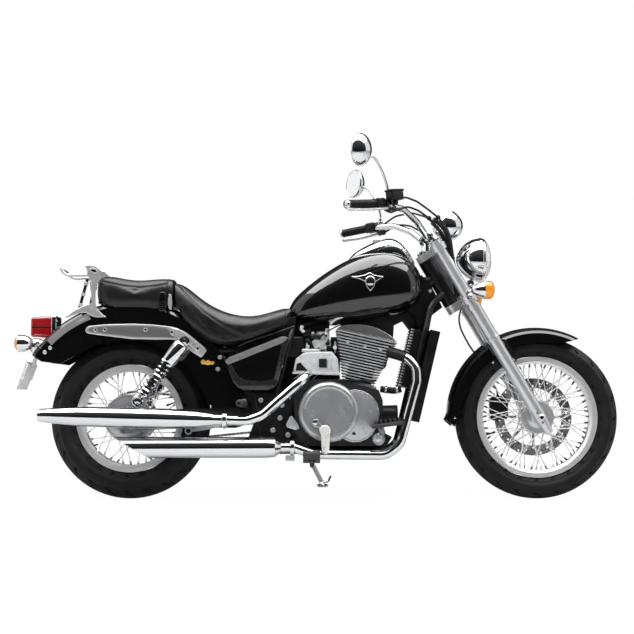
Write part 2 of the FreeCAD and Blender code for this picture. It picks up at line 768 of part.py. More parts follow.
def drive_chain():
    """The drive chain's loop from the gearbox sprocket to the rear one."""
    front = V(690.0, chain_y, 330.0)
    rear = V(0, chain_y, rear_tyre_r)
    r_front, r_rear = 38.0, sprocket_r + 5
    thick, wide = 13.0, 12.0
    def loop(extra):
        big = rod(rear - V(0, wide / 2, 0), rear + V(0, wide / 2, 0), r_rear + extra)
        small = rod(front - V(0, wide / 2, 0), front + V(0, wide / 2, 0), r_front + extra)
        a, b = r_rear + extra, r_front + extra
        tilt = math.asin((a - b) / (front - rear).Length)
        pts = [
            (rear.x + a * math.sin(tilt), rear.z + a * math.cos(tilt)),
            (front.x + b * math.sin(tilt), front.z + b * math.cos(tilt)),
            (front.x + b * math.sin(tilt), front.z - b * math.cos(tilt)),
            (rear.x + a * math.sin(tilt), rear.z - a * math.cos(tilt)),
        ]
        return fused([big, small, plate(pts, chain_y - wide / 2, chain_y + wide / 2)])
    return loop(thick).cut(loop(0))


@once
def crankcase():
    """The closed block of the crank and gearbox."""
    pts = [(668, 262), (705, 216), (985, 216), (1012, 262), (1012, 395), (996, 436), (850, 474), (700, 474), (660, 440)]
    body = plate(pts, case_right_y, case_left_y)
    body = body.cut(drive_room())
    filter_can = rod((1008, -62, 338), (1068, -62, 338), 36)
    filter_cap = rod((1066, -62, 338), (1074, -62, 338), 30)
    sump = plate([(720, 200), (960, 200), (985, 222), (705, 222)], -90, 90)
    return fused([body, filter_can, filter_cap, sump]).cut(frame())


def drive_room():
    """The open space round the gearbox sprocket on the left."""
    return block(600, 748, 74, 160, 200, 400)


@once
def clutch_cover():
    """The large round polished cover on the right."""
    r = clutch_r
    depth = case_right_y - clutch_face_y
    profile = [(0, 0), (0, r), (-10, r), (-14, r - 5), (-depth + 14, r - 6), (-depth + 4, r - 12), (-depth, r - 22)]
    profile += [(-depth, 0)]
    return spun(profile, (clutch_x, case_right_y, clutch_z), (0, 1, 0), (0, 0, 1))


@once
def timing_cover():
    """The smaller cover ahead of the clutch."""
    pts = [(850, 420), (902, 438), (950, 424), (986, 392), (998, 350), (990, 308), (972, 266), (938, 238), (890, 230),
           (850, 250), (836, 336)]
    foot = smooth_plate(pts, case_right_y, case_right_y - 22)
    inner = [(x + (918 - x) * 0.14, z + (334 - z) * 0.14) for x, z in pts]
    shape = foot.fuse(smooth_plate(inner, case_right_y - 20, case_right_y - 32))
    return shape.cut(rod((clutch_x, case_right_y + 5, clutch_z), (clutch_x, clutch_face_y - 5, clutch_z), clutch_r + seat_gap))


@once
def left_covers():
    """The generator cover and the gearbox sprocket's cover, on the left."""
    r = 92
    generator = spun([(0, 0), (0, r), (12, r), (34, r - 8), (44, r - 22), (44, 0)],
                     (905, case_left_y, 330), (0, 1, 0), (0, 0, 1))
    sprocket_cover = plate([(640, 260), (700, 236), (806, 250), (806, 400), (740, 424), (650, 400)], case_left_y, case_left_y + 16)
    sprocket_cover = sprocket_cover.cut(rod((905, 100, 330), (905, 200, 330), r + seat_gap))
    return Part.makeCompound([generator, sprocket_cover])


def along_bore(tilt_deg, u, w, y=0.0):
    """A point of a cylinder's own frame: u across its fins, w along its bore."""
    t = math.radians(tilt_deg)
    return V(crank_x + u * math.cos(t) + w * math.sin(t), y, crank_z - u * math.sin(t) + w * math.cos(t))


def slab(tilt_deg, u0, u1, w0, w1, half_y):
    pts = [along_bore(tilt_deg, u, w, -half_y) for u, w in ((u0, w0), (u1, w0), (u1, w1), (u0, w1))]
    return Part.Face(Part.makePolygon(pts + [pts[0]])).extrude(V(0, 2 * half_y, 0))


@once
def front_cylinder():
    """The finned front cylinder and head, wider at the top."""
    tilt = front_tilt_deg
    core = [slab(tilt, -48, 62, barrel_base - 12, 232, 80), slab(tilt, -104, 104, 226, head_top, 82)]
    pitch = (head_top - barrel_base) / (fin_count - 0.5)
    fins = []
    for i in range(fin_count):
        w = barrel_base + i * pitch
        share = (w - barrel_base) / (head_top - barrel_base)
        rear = -58 - 70 * share
        front = 72 + 52 * share
        fins.append(slab(tilt, rear, front, w, w + fin_t, fin_half_y - 12 * (1 - share)))
    return fused(core + fins).cut(crankcase())


@once
def rear_cylinder():
    """The finned rear cylinder, low behind the carburettor."""
    tilt = rear_tilt_deg
    core = [slab(tilt, -52, 52, 120, 268, 70)]
    fins = [slab(tilt, -66, 66, 212 + i * 12, 212 + i * 12 + fin_t, 84) for i in range(5)]
    return fused(core + fins).cut(Part.makeCompound([crankcase(), front_cylinder()]))


@once
def head_covers():
    """Domed cover on the front head, and the rear cylinder's plain side cover."""
    pts = [along_bore(front_tilt_deg, u, w) for u, w in
           ((-122, head_top + seat_gap), (-118, head_top + 12), (-70, head_top + 34), (0, head_top + 44), (70, head_top + 32),
            (112, head_top + 10), (118, head_top + seat_gap))]
    dome = plate([(p.x, p.z) for p in pts], -78, 78)
    side = plate([(657, 506), (700, 503), (842, 496), (836, 560), (812, 590), (700, 584), (668, 560)], -122, -90)
    block_front = front_cylinder()
    side = side.cut(Part.makeCompound([block_front, rear_cylinder()]))
    return Part.makeCompound([dome, side])


@once
def intake():
    """Carburettor and air duct between the front head and the airbox."""
    z = 612.0
    y = -40.0
    duct = rod((700, y, z), (841, y, z), 24)
    bowl = block(742, 800, y - 42, y + 40, z - 26, z + 40)
    cap = rod((771, y, z + 38), (771, y, z + 62), 22)
    airbox = block(604, 700, -84, 70, 566, 652)
    shape = fused([duct, bowl, cap, airbox])
    return shape.cut(Part.makeCompound([front_cylinder(), rear_cylinder(), head_covers(), frame()]))


rad_top = (1223.0, 670.0)
rad_low = (1137.0, 312.0)
fan_depth = (6.0, 88.0)
fan_half = 92.0


@once
def radiator():
    """The radiator and its shroud ahead of the downtubes."""
    a, b = V(rad_top[0], 0, rad_top[1]), V(rad_low[0], 0, rad_low[1])
    way = unit(b - a)
    ahead = V(-way.z, 0, way.x)
    half = 19.0
    pts = [a - ahead * half, a + ahead * half, b + ahead * half, b - ahead * half]
    body = plate([(p.x, p.z) for p in pts], -148, 148)
    inset = 22.0
    core = [a + way * inset - ahead * (half + 1), a + way * inset - ahead * 8, b - way * inset - ahead * 8,
            b - way * inset - ahead * (half + 1)]
    front_core = [a + way * inset + ahead * (half + 1), a + way * inset + ahead * 8, b - way * inset + ahead * 8,
                  b - way * inset + ahead * (half + 1)]
    def fan_box(near, far, trim, half_y):
        corners = [a + way * (8 + trim) - ahead * near, a + way * (8 + trim) - ahead * far,
                   a + way * (244 - trim) - ahead * far, a + way * (244 - trim) - ahead * near]
        return plate([(p.x, p.z) for p in corners], -half_y, half_y)
    body = body.cut(plate([(p.x, p.z) for p in front_core], -128, 128))
    body = body.cut(plate([(p.x, p.z) for p in core], -84, 84))
    body = body.fuse(fan_box(fan_depth[0], fan_depth[1], 0, fan_half).cut(fan_box(fan_depth[0] - 4, fan_depth[1] + 4, 8, fan_half - 8)))
    return body.cut(frame())


# Exhaust

def muffler_body(profile, start, end, wall):
    """A hollow silencer from (distance, radius) pairs, open at its tail."""
    axis = unit(end - start)
    side = V(0, 1, 0)
    inner = [(a, max(r - wall, 2)) for a, r in reversed(profile)]
    return spun(profile + inner, start, axis, side)


@once
def upper_exhaust():
    """The rear cylinder's pipe and tapered silencer."""
    start = V(-335, upper_muffler_y, 336)
    end = V(382, upper_muffler_y, 318)
    r = upper_muffler_r
    profile = [(0, 22), (12, 26), (150, r - 3), (360, r), (510, r - 2), (615, r - 7), (680, pipe_r + 6)]
    profile += [(690, pipe_r + 3), (716, pipe_r + 3)]
    silencer = muffler_body(profile, start, end, 4)
    y = upper_muffler_y
    pipe = tube([(366, y, 318.4), (484, y, 316), (540, y, 336), (612, y + 4, 401), (680, -182, 461), (716, -140, 494), (722, -88, 500)],
                pipe_r, 90, pipe_r - pipe_wall)
    shape = silencer.fuse(pipe)
    return shape.cut(Part.makeCompound([rear_cylinder(), head_covers(), clutch_cover(), crankcase(), frame()]))


@once
def lower_exhaust():
    """The front cylinder's pipe and straight slash-cut silencer."""
    y, z, r = lower_muffler_y, lower_muffler_z, lower_muffler_r
    start = V(-43, y, z)
    profile = [(0, r), (600, r), (632, r - 4), (655, pipe_r)]
    silencer = muffler_body(profile, start, V(617, y, z), 3)
    slash = plate([(-60, z - r - 2), (99, z - r - 2), (-43, z + r + 2), (-60, z + r + 2)], y - r - 5, y + r + 5)
    silencer = silencer.cut(slash)
    pipe = tube([(600, y, z), (660, y, z), (740, y, 184), (1022, -168, 181), (1078, -166, 222), (1146, -162, 468),
                 (1146, -154, 522), (1114, -134, 562), (1040, -92, 588)], pipe_r, 62, pipe_r - pipe_wall)
    return silencer.fuse(pipe).cut(Part.makeCompound([front_cylinder(), frame(), radiator()]))


# Bodywork

@once
def fuel_tank():
    """A teardrop tank over the backbone."""
    sections = [
        (640, 716, 768, 40),
        (690, 708, 836, 92),
        (770, 708, 900, 124),
        (880, 712, 966, 140),
        (990, 722, 1000, tank_half),
        (1080, 738, 994, 142),
        (1140, 768, 956, 118),
        (1172, 806, 906, 76),
    ]
    body = skin(sections, square=2.5, belly=0.42)
    tunnel = [(600, 690), (600, 730), (700, 762), (960, 850), (1120, 900), (1200, 930), (1200, 690)]
    body = body.cut(plate(tunnel, -tunnel_half, tunnel_half))
    return body


@once
def tank_console():
    """The bright instrument cover along the tank's top."""
    sections = [
        (884, 946, 972, 14),
        (930, 950, 1012, 44),
        (1000, 950, 1046, 66),
        (1070, 950, 1052, 66),
        (1120, 940, 1010, 50),
        (1150, 936, 962, 26),
    ]
    return skin(sections, square=2.2).cut(fuel_tank())


@once
def rider_seat():
    sections = [
        (180, 740, 878, 98),
        (220, 700, 855, 118),
        (290, 640, 798, 136),
        (360, 606, 758, seat_half - 4),
        (440, 610, 735, seat_half),
        (520, 634, 737, 142),
        (590, 664, 758, 116),
        (624, 680, 770, 92),
        (656, 696, 784, 60),
    ]
    body = skin(sections, square=3.2, belly=0.42)
    return body.cut(Part.makeCompound([guard_void(), frame(), fuel_tank()]))


@once
def guard_void():
    """The space of the rear mudguard and what lies under it."""
    r = rear_guard_r + 2
    h = rear_guard_half + 1.5
    return rod((0, -h, rear_tyre_r), (0, h, rear_tyre_r), r)


@once
def pillion_seat():
    sections = [
        (-134, 776, 862, 84),
        (-112, 754, 889, 104),
        (-20, 748, 883, pillion_half),
        (80, 744, 880, pillion_half),
        (150, 742, 883, 112),
        (178, 744, 880, 104),
    ]
    body = skin(sections, square=3.4, belly=0.45)
    return body.cut(Part.makeCompound([guard_void(), rider_seat()]))


@once
def rear_guard():
    section = guard_section(rear_guard_r, rear_guard_half, rear_guard_skirt, guard_wall)
    body = swept_guard(rear_axle, section, rear_guard_front_deg, rear_guard_rear_deg)
    trim = [
        (-400, 560), (-370, 552), (-274, 540), (-194, 584), (-131, 616), (-27, 628), (73, 612), (150, 580), (196, 540),
        (262, 480), (300, 420), (318, 376), (520, 376), (520, 900), (-420, 900),
    ]
    body = body.common(plate(trim, -rear_guard_half - 5, rear_guard_half + 5))
    chain_gap = block(150, 520, chain_y - 18, rear_guard_half + 5, 300, 440)
    return body.cut(frame()).cut(chain_gap)


rail_outline = [
    (-174, 673), (-160, 692), (-100, 698), (14, 700), (158, 692), (226, 668), (306, 604), (314, 594), (291, 564), (255, 586),
    (206, 624), (182, 637), (15, 638), (-81, 650), (-161, 661),
]


@once
def fender_rail():
    """The plate that carries the mudguard, on the right."""
    y0 = -(rear_guard_half + seat_gap)
    return plate(rail_outline, y0, y0 - rail_t)


shock_y = 141.0
shock_top = (228.0, 628.0)
shock_low = (44.0, 392.0)


def shock(side):
    """A rear shock: cover, spring and its two eyes."""
    y = side * shock_y
    a = V(shock_top[0], y, shock_top[1])
    b = V(shock_low[0], y, shock_low[1])
    way = unit(b - a)
    cover = rod(a + way * 14, a + way * 108, 33)
    core = rod(a + way * 100, b - way * 10, 14)
    coils = []
    for i in range(7):
        at = a + way * (116 + i * 17)
        coils.append(rod(at, at + way * 8, 26))
    seat = rod(b - way * 52, b - way * 34, 27)
    reach = V(0, 14, 0)
    eye_top = rod(a - reach, a + reach, 17)
    eye_low = rod(b - reach, b + reach, 17)
    stud_top = rod(a, V(a.x, side * (rear_guard_half + rail_t + 2 * seat_gap), a.z), 8)
    stud_low = rod(b, V(b.x, side * 116, b.z), 8)
    lug = rod(V(b.x, side * 116, b.z), V(b.x - 4, side * 116, 362), 12)
    shape = fused([cover, core, seat, eye_top, eye_low, stud_top, stud_low, lug] + coils)
    return shape.cut(swingarm())


def battery_box():
    """The battery's box under the seat rails."""
    body = block(482, 596, -78, 78, 386, 600)
    lid = block(476, 602, -84, 84, 548, 556)
    return fused([body, lid]).cut(Part.makeCompound([frame(), guard_void(), swingarm(), rear_cylinder(), intake()]))


@once
def side_cover():
    """The right side panel between the seat and the cradle."""
    pts = [(388, 586), (400, 540), (420, 472), (452, 440), (588, 430), (632, 470), (642, 552), (652, 640), (622, 652)]
    outer = plate(pts, -128, -148)
    skirt = plate([(x + (515 - x) * 0.04, z + (540 - z) * 0.04) for x, z in pts], -121, -128)
    return outer.fuse(skirt).cut(Part.makeCompound([frame(), rider_seat(), upper_exhaust()]))


def rear_rack():
    """Upright hoops with a small luggage rail behind."""
    parts = []
    for side in (-1, 1):
        y = side * (rear_guard_half + 6)
        upright = plate([(-70, 700), (-78, 728), (-104, 752), (-116, 800), (-112, 850), (-106, 884), (-120, 918), (-150, 932),
                         (-172, 926), (-164, 884), (-152, 820), (-146, 760), (-138, 700)], y - 4, y + 4)
        parts.append(upright)
        parts.append(tube([(-162, side * 62, 889), (-250, side * 62, 889), (-278, side * 62, 914)], 6, 20))
        parts.append(rod((-168, side * 100, 884), (-200, side * 100, 752), 5))
        parts.append(rod((-204, side * 103, 756), (-196, side * 90, 740), 6))
    parts.append(rod((-278, -68, 914), (-278, 68, 914), 6))
    parts.append(rod((-162, -105, 889), (-162, 105, 889), 7))
    top = plate([(-172, 924), (-150, 932), (-142, 900), (-162, 892)], -105, 105)
    parts.append(top)
    return fused(parts).cut(Part.makeCompound([rear_guard(), pillion_seat(), both(fender_rail())]))


def tail_light():
    body = skin([(-410, 662, 716, 44), (-400, 656, 724, 52), (-330, 652, 730, 56), (-308, 668, 728, 50)], square=3.2)
    return body.cut(guard_void())


def number_plate():
    """A blank plate on its arm below the mudguard's tail."""
    top = V(-408, 0, 549)
    low = V(-447, 0, 439)
    way = unit(low - top)
    out = V(way.z, 0, -way.x)
    pts = [top, low, low + out * 2.5, top + out * 2.5]
    face = plate([(p.x, p.z) for p in pts], -90, 90)
    arm = tube([(-405, 0, 520), (-396, 0, 560), (-374, 0, 592), (-358, 0, 622)], 8, 20)
    back = [top + way * 6, top + way * 74, top + way * 74 - out * 7, top + way * 6 - out * 7]
    arm_plate = plate([(p.x, p.z) for p in back], -84, 84)
    shape = fused([face, arm, arm_plate])
    for side in (-1, 1):
        hole = top + way * plate_hole_drop + V(0, side * plate_hole_half, 0)
        shape = shape.cut(rod(hole - out * 12, hole + out * 6, plate_hole_r))
    return shape.cut(rear_guard())


def rear_signal(side):
    """A bullet indicator, its lens facing back, on a stalk from the mudguard."""
    c = V(-421.0, side * 132, 620.0)
    profile = [(-64, 0), (-64, 7), (-44, 20), (-20, 31), (0, 34), (24, 33), (34, 24), (38, 0)]
    bullet = spun(profile, c, (-1, 0, 0), (0, 0, 1))
    stalk = rod(c + V(42, 0, 0), (-352, side * (rear_guard_half - 1), 606), 7)
    return fused([bullet, stalk]).cut(rear_guard())


plate_hole_half = 70.0
plate_hole_drop = 20.0
plate_hole_r = 3.5


# Foot pieces and stand

def footpegs():
    """Rider pegs beside the cradle and passenger pegs on the swingarm's gussets."""
    right_peg = block(700, 765, -296, -206, 155, 198)
    hanger = tube([(733, -105, cradle_z - 10), (733, -112, 148), (733, -200, 148), (733, -212, 168)], 9, 12)
    left_peg = rod((733, 150, 196), (733, 260, 196), 20)
    left_root = rod((733, 110, 196), (733, 152, 196), 9)
    right = fused([right_peg, hanger])
    left = fused([left_peg, left_root])
    rear = fused([rod((470, 122, 380), (470, 152, 380), 10), rod((470, 150, 380), (450, 236, 384), 15)])
    pieces = [right, left, rear, mirrored(rear)]
    return Part.makeCompound([p.cut(Part.makeCompound([frame(), lower_exhaust(), swingarm()])) for p in pieces])


def foot_controls():
    """The brake lever and forward tread on the right, the gear lever on the left."""
    boss = rod((745, clutch_face_y - seat_gap, 309), (745, -210, 309), 14)
    arm = plate([(736, 298), (776, 270), (772, 192), (784, 184), (797, 190), (802, 292), (754, 322)], -202, -210)
    brake = fused([boss, arm])
    tread_pts = [(968, 284), (1086, 300), (1084, 315), (966, 300)]
    tread = plate(tread_pts, -172, -236)
    ribs = [plate([(984 + i * 18, 299), (990 + i * 18, 300), (991 + i * 18, 324), (985 + i * 18, 323)], -172, -236)
            for i in range(6)]
    post = rod((1000, -196, 293), (1010, -150, 268), 12)
    foot = rod((1010, -152, 268), (1010, -case_right_gap(), 268), 12)
    right_tread = fused([tread, post, foot] + ribs)
    left_tread = mirrored(right_tread)
    lever = plate([(900, 232), (912, 226), (1010, 286), (1000, 296)], 190, 198)
    shift_boss = rod((906, 150, 236), (906, 199, 236), 10)
    keep = [crankcase(), clutch_cover(), timing_cover(), left_covers(), frame(), lower_exhaust()]
    obstacles = Part.makeCompound(keep)
    return Part.makeCompound([p.cut(obstacles) for p in (brake, right_tread, left_tread, fused([lever, shift_boss]))])


def case_right_gap():
    return -case_right_y - 44


def stand_axis():
    """The stand's hinge line: it swings from down and out to back along the cradle."""
    return unit(V(-0.33, 0.94, 0.14))


def stand_foot_point():
    """Where the stand's foot meets the leaned floor."""
    floor = stand_foot_y * math.tan(lean) - road_lift() / math.cos(lean)
    return V(stand_foot_x, stand_foot_y, floor + stand_pad_t)


stand_pad_t = 6.0


def road_lift():
    """How much the leaned rear tyre's round crown lifts the machine."""
    return (tyre_crown_r + wide_tyre_extra) * (1 - math.cos(lean))


def side_stand():
    """The stand's leg, hinge eye and flat foot."""
    pivot = V(*stand_pivot)
    foot = stand_foot_point()
    axis = stand_axis()
    eye = rod(pivot - axis * 3, pivot + axis * 7, 15).cut(rod(pivot - axis * 9, pivot + axis * 12, stand_pin_r + running_gap))
    way = unit(foot - pivot)
    leg = rod(pivot + way * 14 + axis * 2, foot + V(0, 0, stand_r * 0.4), stand_r)
    spur = tube([foot + V(0, 0, 8), foot + V(24, 10, 14), foot + V(36, 16, 36)], 5, 12)
    up = V(0, -math.sin(lean), math.cos(lean))
    sole = foot - up * stand_pad_t
    pad = rod(sole, sole + up * stand_pad_t, 24)
    shape = fused([eye, leg, spur, pad])
    below = rod(sole - up * 40, sole, 120)
    return shape.cut(below)


def rest_pose(shapes):
    """Leans the machine onto its stand, then centres its foot print on the origin."""
    placed = {}
    for name, shape in shapes.items():
        turned = shape.copy()
        turned.rotate(V(0, 0, 0), V(1, 0, 0), -lean_deg)
        turned.translate(V(0, 0, road_lift()))
        placed[name] = turned
    lows, highs = [], []
    for shape in placed.values():
        pts = shape.tessellate(0.6)[0]
        lows.append([min(p[k] for p in pts) for k in range(3)])
        highs.append([max(p[k] for p in pts) for k in range(3)])
    low = [min(v[k] for v in lows) for k in range(3)]
    high = [max(v[k] for v in highs) for k in range(3)]
    shift = V(-(low[0] + high[0]) / 2, -(low[1] + high[1]) / 2, -low[2])
    for shape in placed.values():
        shape.translate(shift)
    return placed, V(0, 0, road_lift()) + shift


def model():
    return {
        "frame": frame(),
        "swingarm": swingarm(),
        "drive_chain": drive_chain(),
        "crankcase": crankcase(),
        "engine_covers": Part.makeCompound([clutch_cover(), timing_cover(), left_covers()]),
        "front_cylinder": front_cylinder(),
        "rear_cylinder": rear_cylinder(),
        "head_covers": head_covers(),
        "intake": intake(),
        "radiator": radiator(),
        "upper_exhaust": upper_exhaust(),
        "lower_exhaust": lower_exhaust(),
        "fuel_tank": fuel_tank(),
        "tank_console": tank_console(),
        "rider_seat": rider_seat(),
        "pillion_seat": pillion_seat(),
        "side_covers": both(side_cover()),
        "battery_box": battery_box(),
        "rear_mudguard": rear_guard(),
        "mudguard_rails": both(fender_rail()),
        "rear_shocks": Part.makeCompound([shock(-1), shock(1)]),
        "rear_rack": rear_rack(),
        "number_plate": number_plate(),
        "rear_lights": Part.makeCompound([tail_light(), rear_signal(-1), rear_signal(1)]),
        "footrests": footpegs(),
        "foot_levers": foot_controls(),
        "fork_clamps": fork_clamps(),
        "fork_legs": fork_legs(),
        "front_mudguard": front_guard(),
        "front_caliper": caliper(),
        "handlebar": handlebar(),
        "grips": Part.makeCompound([grip(-1), grip(1)]),
        "hand_controls": Part.makeCompound([hand_control(-1), hand_control(1)]),
        "mirrors": mirror_pair(),
        "front_lights": Part.makeCompound([headlight(), headlight_lens(), front_signal(-1), front_signal(1)]),
        "speedometer": speedometer(),
        "control_cables": Part.makeCompound(control_cables()),
        "front_tyre": tyre(front_axle, front_tyre_r, front_tyre_w, front_rim_r, front_rim_w),
        "front_wheel": laced_wheel(front_axle, front_hub_half, front_flange_y, front_flange_r, front_spokes,
                                   front_rim_r, front_rim_w),
        "front_disc": front_disc(),
        "rear_tyre": tyre(rear_axle, rear_tyre_r, rear_tyre_w, rear_rim_r, rear_rim_w),
        "rear_wheel": laced_wheel(rear_axle, rear_hub_half, rear_flange_y, rear_flange_r, rear_spokes,
                                  rear_rim_r, rear_rim_w),
        "rear_sprocket": sprocket(),
        "rear_brake": brake_panel(),
        "side_stand": side_stand(),
    }


def main():
    os.makedirs("parts", exist_ok=True)
    placed, shift = rest_pose(model())
    for name, shape in placed.items():
        shape.exportStep(f"parts/{name}.step")
    print("shift", [round(v, 4) for v in shift])


if __name__ == "__main__":
    main()
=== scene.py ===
import bpy
import json
import math
from mathutils import Matrix, Vector, kdtree


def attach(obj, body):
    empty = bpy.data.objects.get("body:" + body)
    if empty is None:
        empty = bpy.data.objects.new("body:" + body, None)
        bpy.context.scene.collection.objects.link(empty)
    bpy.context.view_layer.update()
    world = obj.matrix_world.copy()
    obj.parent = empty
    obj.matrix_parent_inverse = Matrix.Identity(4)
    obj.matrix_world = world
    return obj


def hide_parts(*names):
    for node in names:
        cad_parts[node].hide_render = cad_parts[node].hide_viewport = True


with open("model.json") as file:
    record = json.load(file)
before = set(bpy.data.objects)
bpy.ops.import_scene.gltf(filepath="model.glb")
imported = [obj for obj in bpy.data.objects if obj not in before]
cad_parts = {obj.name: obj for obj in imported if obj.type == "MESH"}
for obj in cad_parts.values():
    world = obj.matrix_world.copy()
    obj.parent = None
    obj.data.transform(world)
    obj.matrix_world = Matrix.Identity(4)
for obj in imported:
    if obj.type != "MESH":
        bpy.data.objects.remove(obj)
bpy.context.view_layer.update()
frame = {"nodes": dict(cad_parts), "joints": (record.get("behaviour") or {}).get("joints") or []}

scene = bpy.context.scene
scene.view_settings.view_transform = "Standard"
mm = 0.001

# the bike is drawn upright from its rear axle; this leans it and sets it on its place in the frame
joints = {joint["name"]: joint for joint in frame["joints"]}
wheelAxis = Vector(joints["rear_wheel_spin"]["axis"]).normalized()
bikeUp = Vector((1, 0, 0)).cross(wheelAxis)
rearHubAt = Vector(joints["rear_wheel_spin"]["pos_m"])
axleHeight = 0.323
leanMatrix = Matrix((
    (1, 0, 0, rearHubAt.x),
    (0, wheelAxis.y, bikeUp.y, rearHubAt.y - bikeUp.y * axleHeight),
    (0, wheelAxis.z, bikeUp.z, rearHubAt.z - bikeUp.z * axleHeight),
    (0, 0, 0, 1),
))

# camera, floor and light

studio = {
    "cameraAt": (-0.0018, -5.1373, 1.0),
    "aimAt": (-0.0018, -0.1373, 0.7345),
    "lens": 70.9,
    "floorColor": (0.92, 0.92, 0.92, 1),
    "worldStrength": 0.50,
    "floorGlow": 0.94,
    "floorWhite": 1.03,
    "floorSide": 60,
    "wallLow": 0.012,
    "wallHigh": 0.11,
    "wallAt": 7,
    "wallSize": (26, 13.2),
    "wallMiddle": 6.4,
    "darkUpTo": 1.4,
    "brightFrom": 12,
    "ceilingGlow": 6.5,
    "ceilingAt": 8,
    "ceilingSize": (16, 8.4),
}


def aimFrom(place, target):
    return (Vector(target) - Vector(place)).to_track_quat("-Z", "Y").to_euler()


cameraData = bpy.data.cameras.new("photoCamera")
cameraData.lens = studio["lens"]
cameraData.sensor_width = 36
camera = bpy.data.objects.new("photoCamera", cameraData)
scene.collection.objects.link(camera)
camera.location = studio["cameraAt"]
camera.rotation_euler = aimFrom(studio["cameraAt"], studio["aimAt"])
scene.camera = camera


def softBox(name, place, target, size, power):
    lampData = bpy.data.lights.new(name, "AREA")
    lampData.shape = "RECTANGLE"
    lampData.size, lampData.size_y = size
    lampData.energy = power
    lamp = bpy.data.objects.new(name, lampData)
    scene.collection.objects.link(lamp)
    lamp.location = place
    lamp.rotation_euler = aimFrom(place, target)
    lamp.visible_glossy = False


softBox("topSoftBox", (0, -0.6, 4.2), (0, 0, 0.5), (4.5, 2.2), 95)
softBox("frontSoftBox", (1.6, -4.2, 2.6), (0, 0, 0.6), (2.2, 1.6), 60)
softBox("rearSoftBox", (-2.6, -3.4, 2.2), (0, 0, 0.6), (1.2, 2.0), 34)


def buildWorld():
    world = bpy.data.worlds.new("studioWorld")
    scene.world = world
    world.use_nodes = True
    nodes, links = world.node_tree.nodes, world.node_tree.links
    plain = nodes["Background"]
    plain.inputs["Color"].default_value = (1, 1, 1, 1)
    plain.inputs["Strength"].default_value = studio["worldStrength"]
    white = nodes.new("ShaderNodeBackground")
    white.inputs["Color"].default_value = (1, 1, 1, 1)
    white.inputs["Strength"].default_value = 1.0
    path = nodes.new("ShaderNodeLightPath")
    seen = nodes.new("ShaderNodeMath")
    seen.operation = "MAXIMUM"
    links.new(path.outputs["Is Camera Ray"], seen.inputs[0])
    links.new(path.outputs["Is Glossy Ray"], seen.inputs[1])
    clear = nodes.new("ShaderNodeMath")
    clear.operation = "MAXIMUM"
    links.new(seen.outputs[0], clear.inputs[0])
    links.new(path.outputs["Is Transmission Ray"], clear.inputs[1])
    mix = nodes.new("ShaderNodeMixShader")
    links.new(clear.outputs[0], mix.inputs["Fac"])
    links.new(plain.outputs[0], mix.inputs[1])
    links.new(white.outputs[0], mix.inputs[2])
    links.new(mix.outputs[0], nodes["World Output"].inputs["Surface"])


buildWorld()

bpy.ops.object.select_all(action="DESELECT")
bpy.ops.mesh.primitive_plane_add(size=studio["floorSide"], location=(0, 0, 0))
floor = bpy.context.object
floor.name = "studioFloor"
floorMaterial = bpy.data.materials.new("paleFloor")
floorMaterial.use_nodes = True
floorNodes, floorLinks = floorMaterial.node_tree.nodes, floorMaterial.node_tree.links
floorShader = floorNodes["Principled BSDF"]
floorShader.inputs["Base Color"].default_value = studio["floorColor"]
floorShader.inputs["Roughness"].default_value = 0.9
floorGlow = floorNodes.new("ShaderNodeEmission")
floorGlow.inputs["Color"].default_value = (1, 1, 1, 1)
floorGlow.inputs["Strength"].default_value = studio["floorWhite"]
floorPath = floorNodes.new("ShaderNodeLightPath")
floorShare = floorNodes.new("ShaderNodeMath")
floorShare.operation = "MULTIPLY"
floorShare.inputs[1].default_value = studio["floorGlow"]
floorLinks.new(floorPath.outputs["Is Camera Ray"], floorShare.inputs[0])
floorMix = floorNodes.new("ShaderNodeMixShader")
floorLinks.new(floorShare.outputs[0], floorMix.inputs["Fac"])
floorLinks.new(floorShader.outputs[0], floorMix.inputs[1])
floorLinks.new(floorGlow.outputs[0], floorMix.inputs[2])
floorLinks.new(floorMix.outputs[0], floorNodes["Material Output"].inputs["Surface"])
floor.data.materials.append(floorMaterial)


def shinyOnly(name, place, size, turn=(0, 0, 0)):
    # a glowing panel that only shiny surfaces see
    bpy.ops.object.select_all(action="DESELECT")
    bpy.ops.mesh.primitive_plane_add(size=1, location=place, rotation=turn)
    panel = bpy.context.object
    panel.name = name
    panel.scale = (*size, 1)
    bpy.ops.object.transform_apply(location=True, rotation=True, scale=True)
    panel.visible_camera = panel.visible_diffuse = panel.visible_shadow = panel.visible_transmission = False
    paint = bpy.data.materials.new(name)
    paint.use_nodes = True
    nodes, links = paint.node_tree.nodes, paint.node_tree.links
    nodes.remove(nodes["Principled BSDF"])
    shine = nodes.new("ShaderNodeEmission")
    links.new(shine.outputs["Emission"], nodes["Material Output"].inputs["Surface"])
    panel.data.materials.append(paint)
    return nodes, links, shine.inputs["Strength"]


def lightCeiling():
    # the big overhead soft box
    nodes, links, strength = shinyOnly("lightCeiling", (0, 0, studio["ceilingAt"]), studio["ceilingSize"])
    strength.default_value = studio["ceilingGlow"]


def darkWall(name, y):
    # the unlit end of the studio, a little lighter towards its top
    nodes, links, strength = shinyOnly(
        name, (0, y, studio["wallMiddle"]), studio["wallSize"], (math.pi / 2, 0, 0))
    place = nodes.new("ShaderNodeTexCoord")
    apart = nodes.new("ShaderNodeSeparateXYZ")
    links.new(place.outputs["Object"], apart.inputs["Vector"])
    rise = nodes.new("ShaderNodeMapRange")
    rise.inputs["From Min"].default_value = studio["darkUpTo"]
    rise.inputs["From Max"].default_value = studio["brightFrom"]
    rise.inputs["To Min"].default_value = studio["wallLow"]
    rise.inputs["To Max"].default_value = studio["wallHigh"]
    links.new(apart.outputs["Z"], rise.inputs["Value"])
    links.new(rise.outputs["Result"], strength)


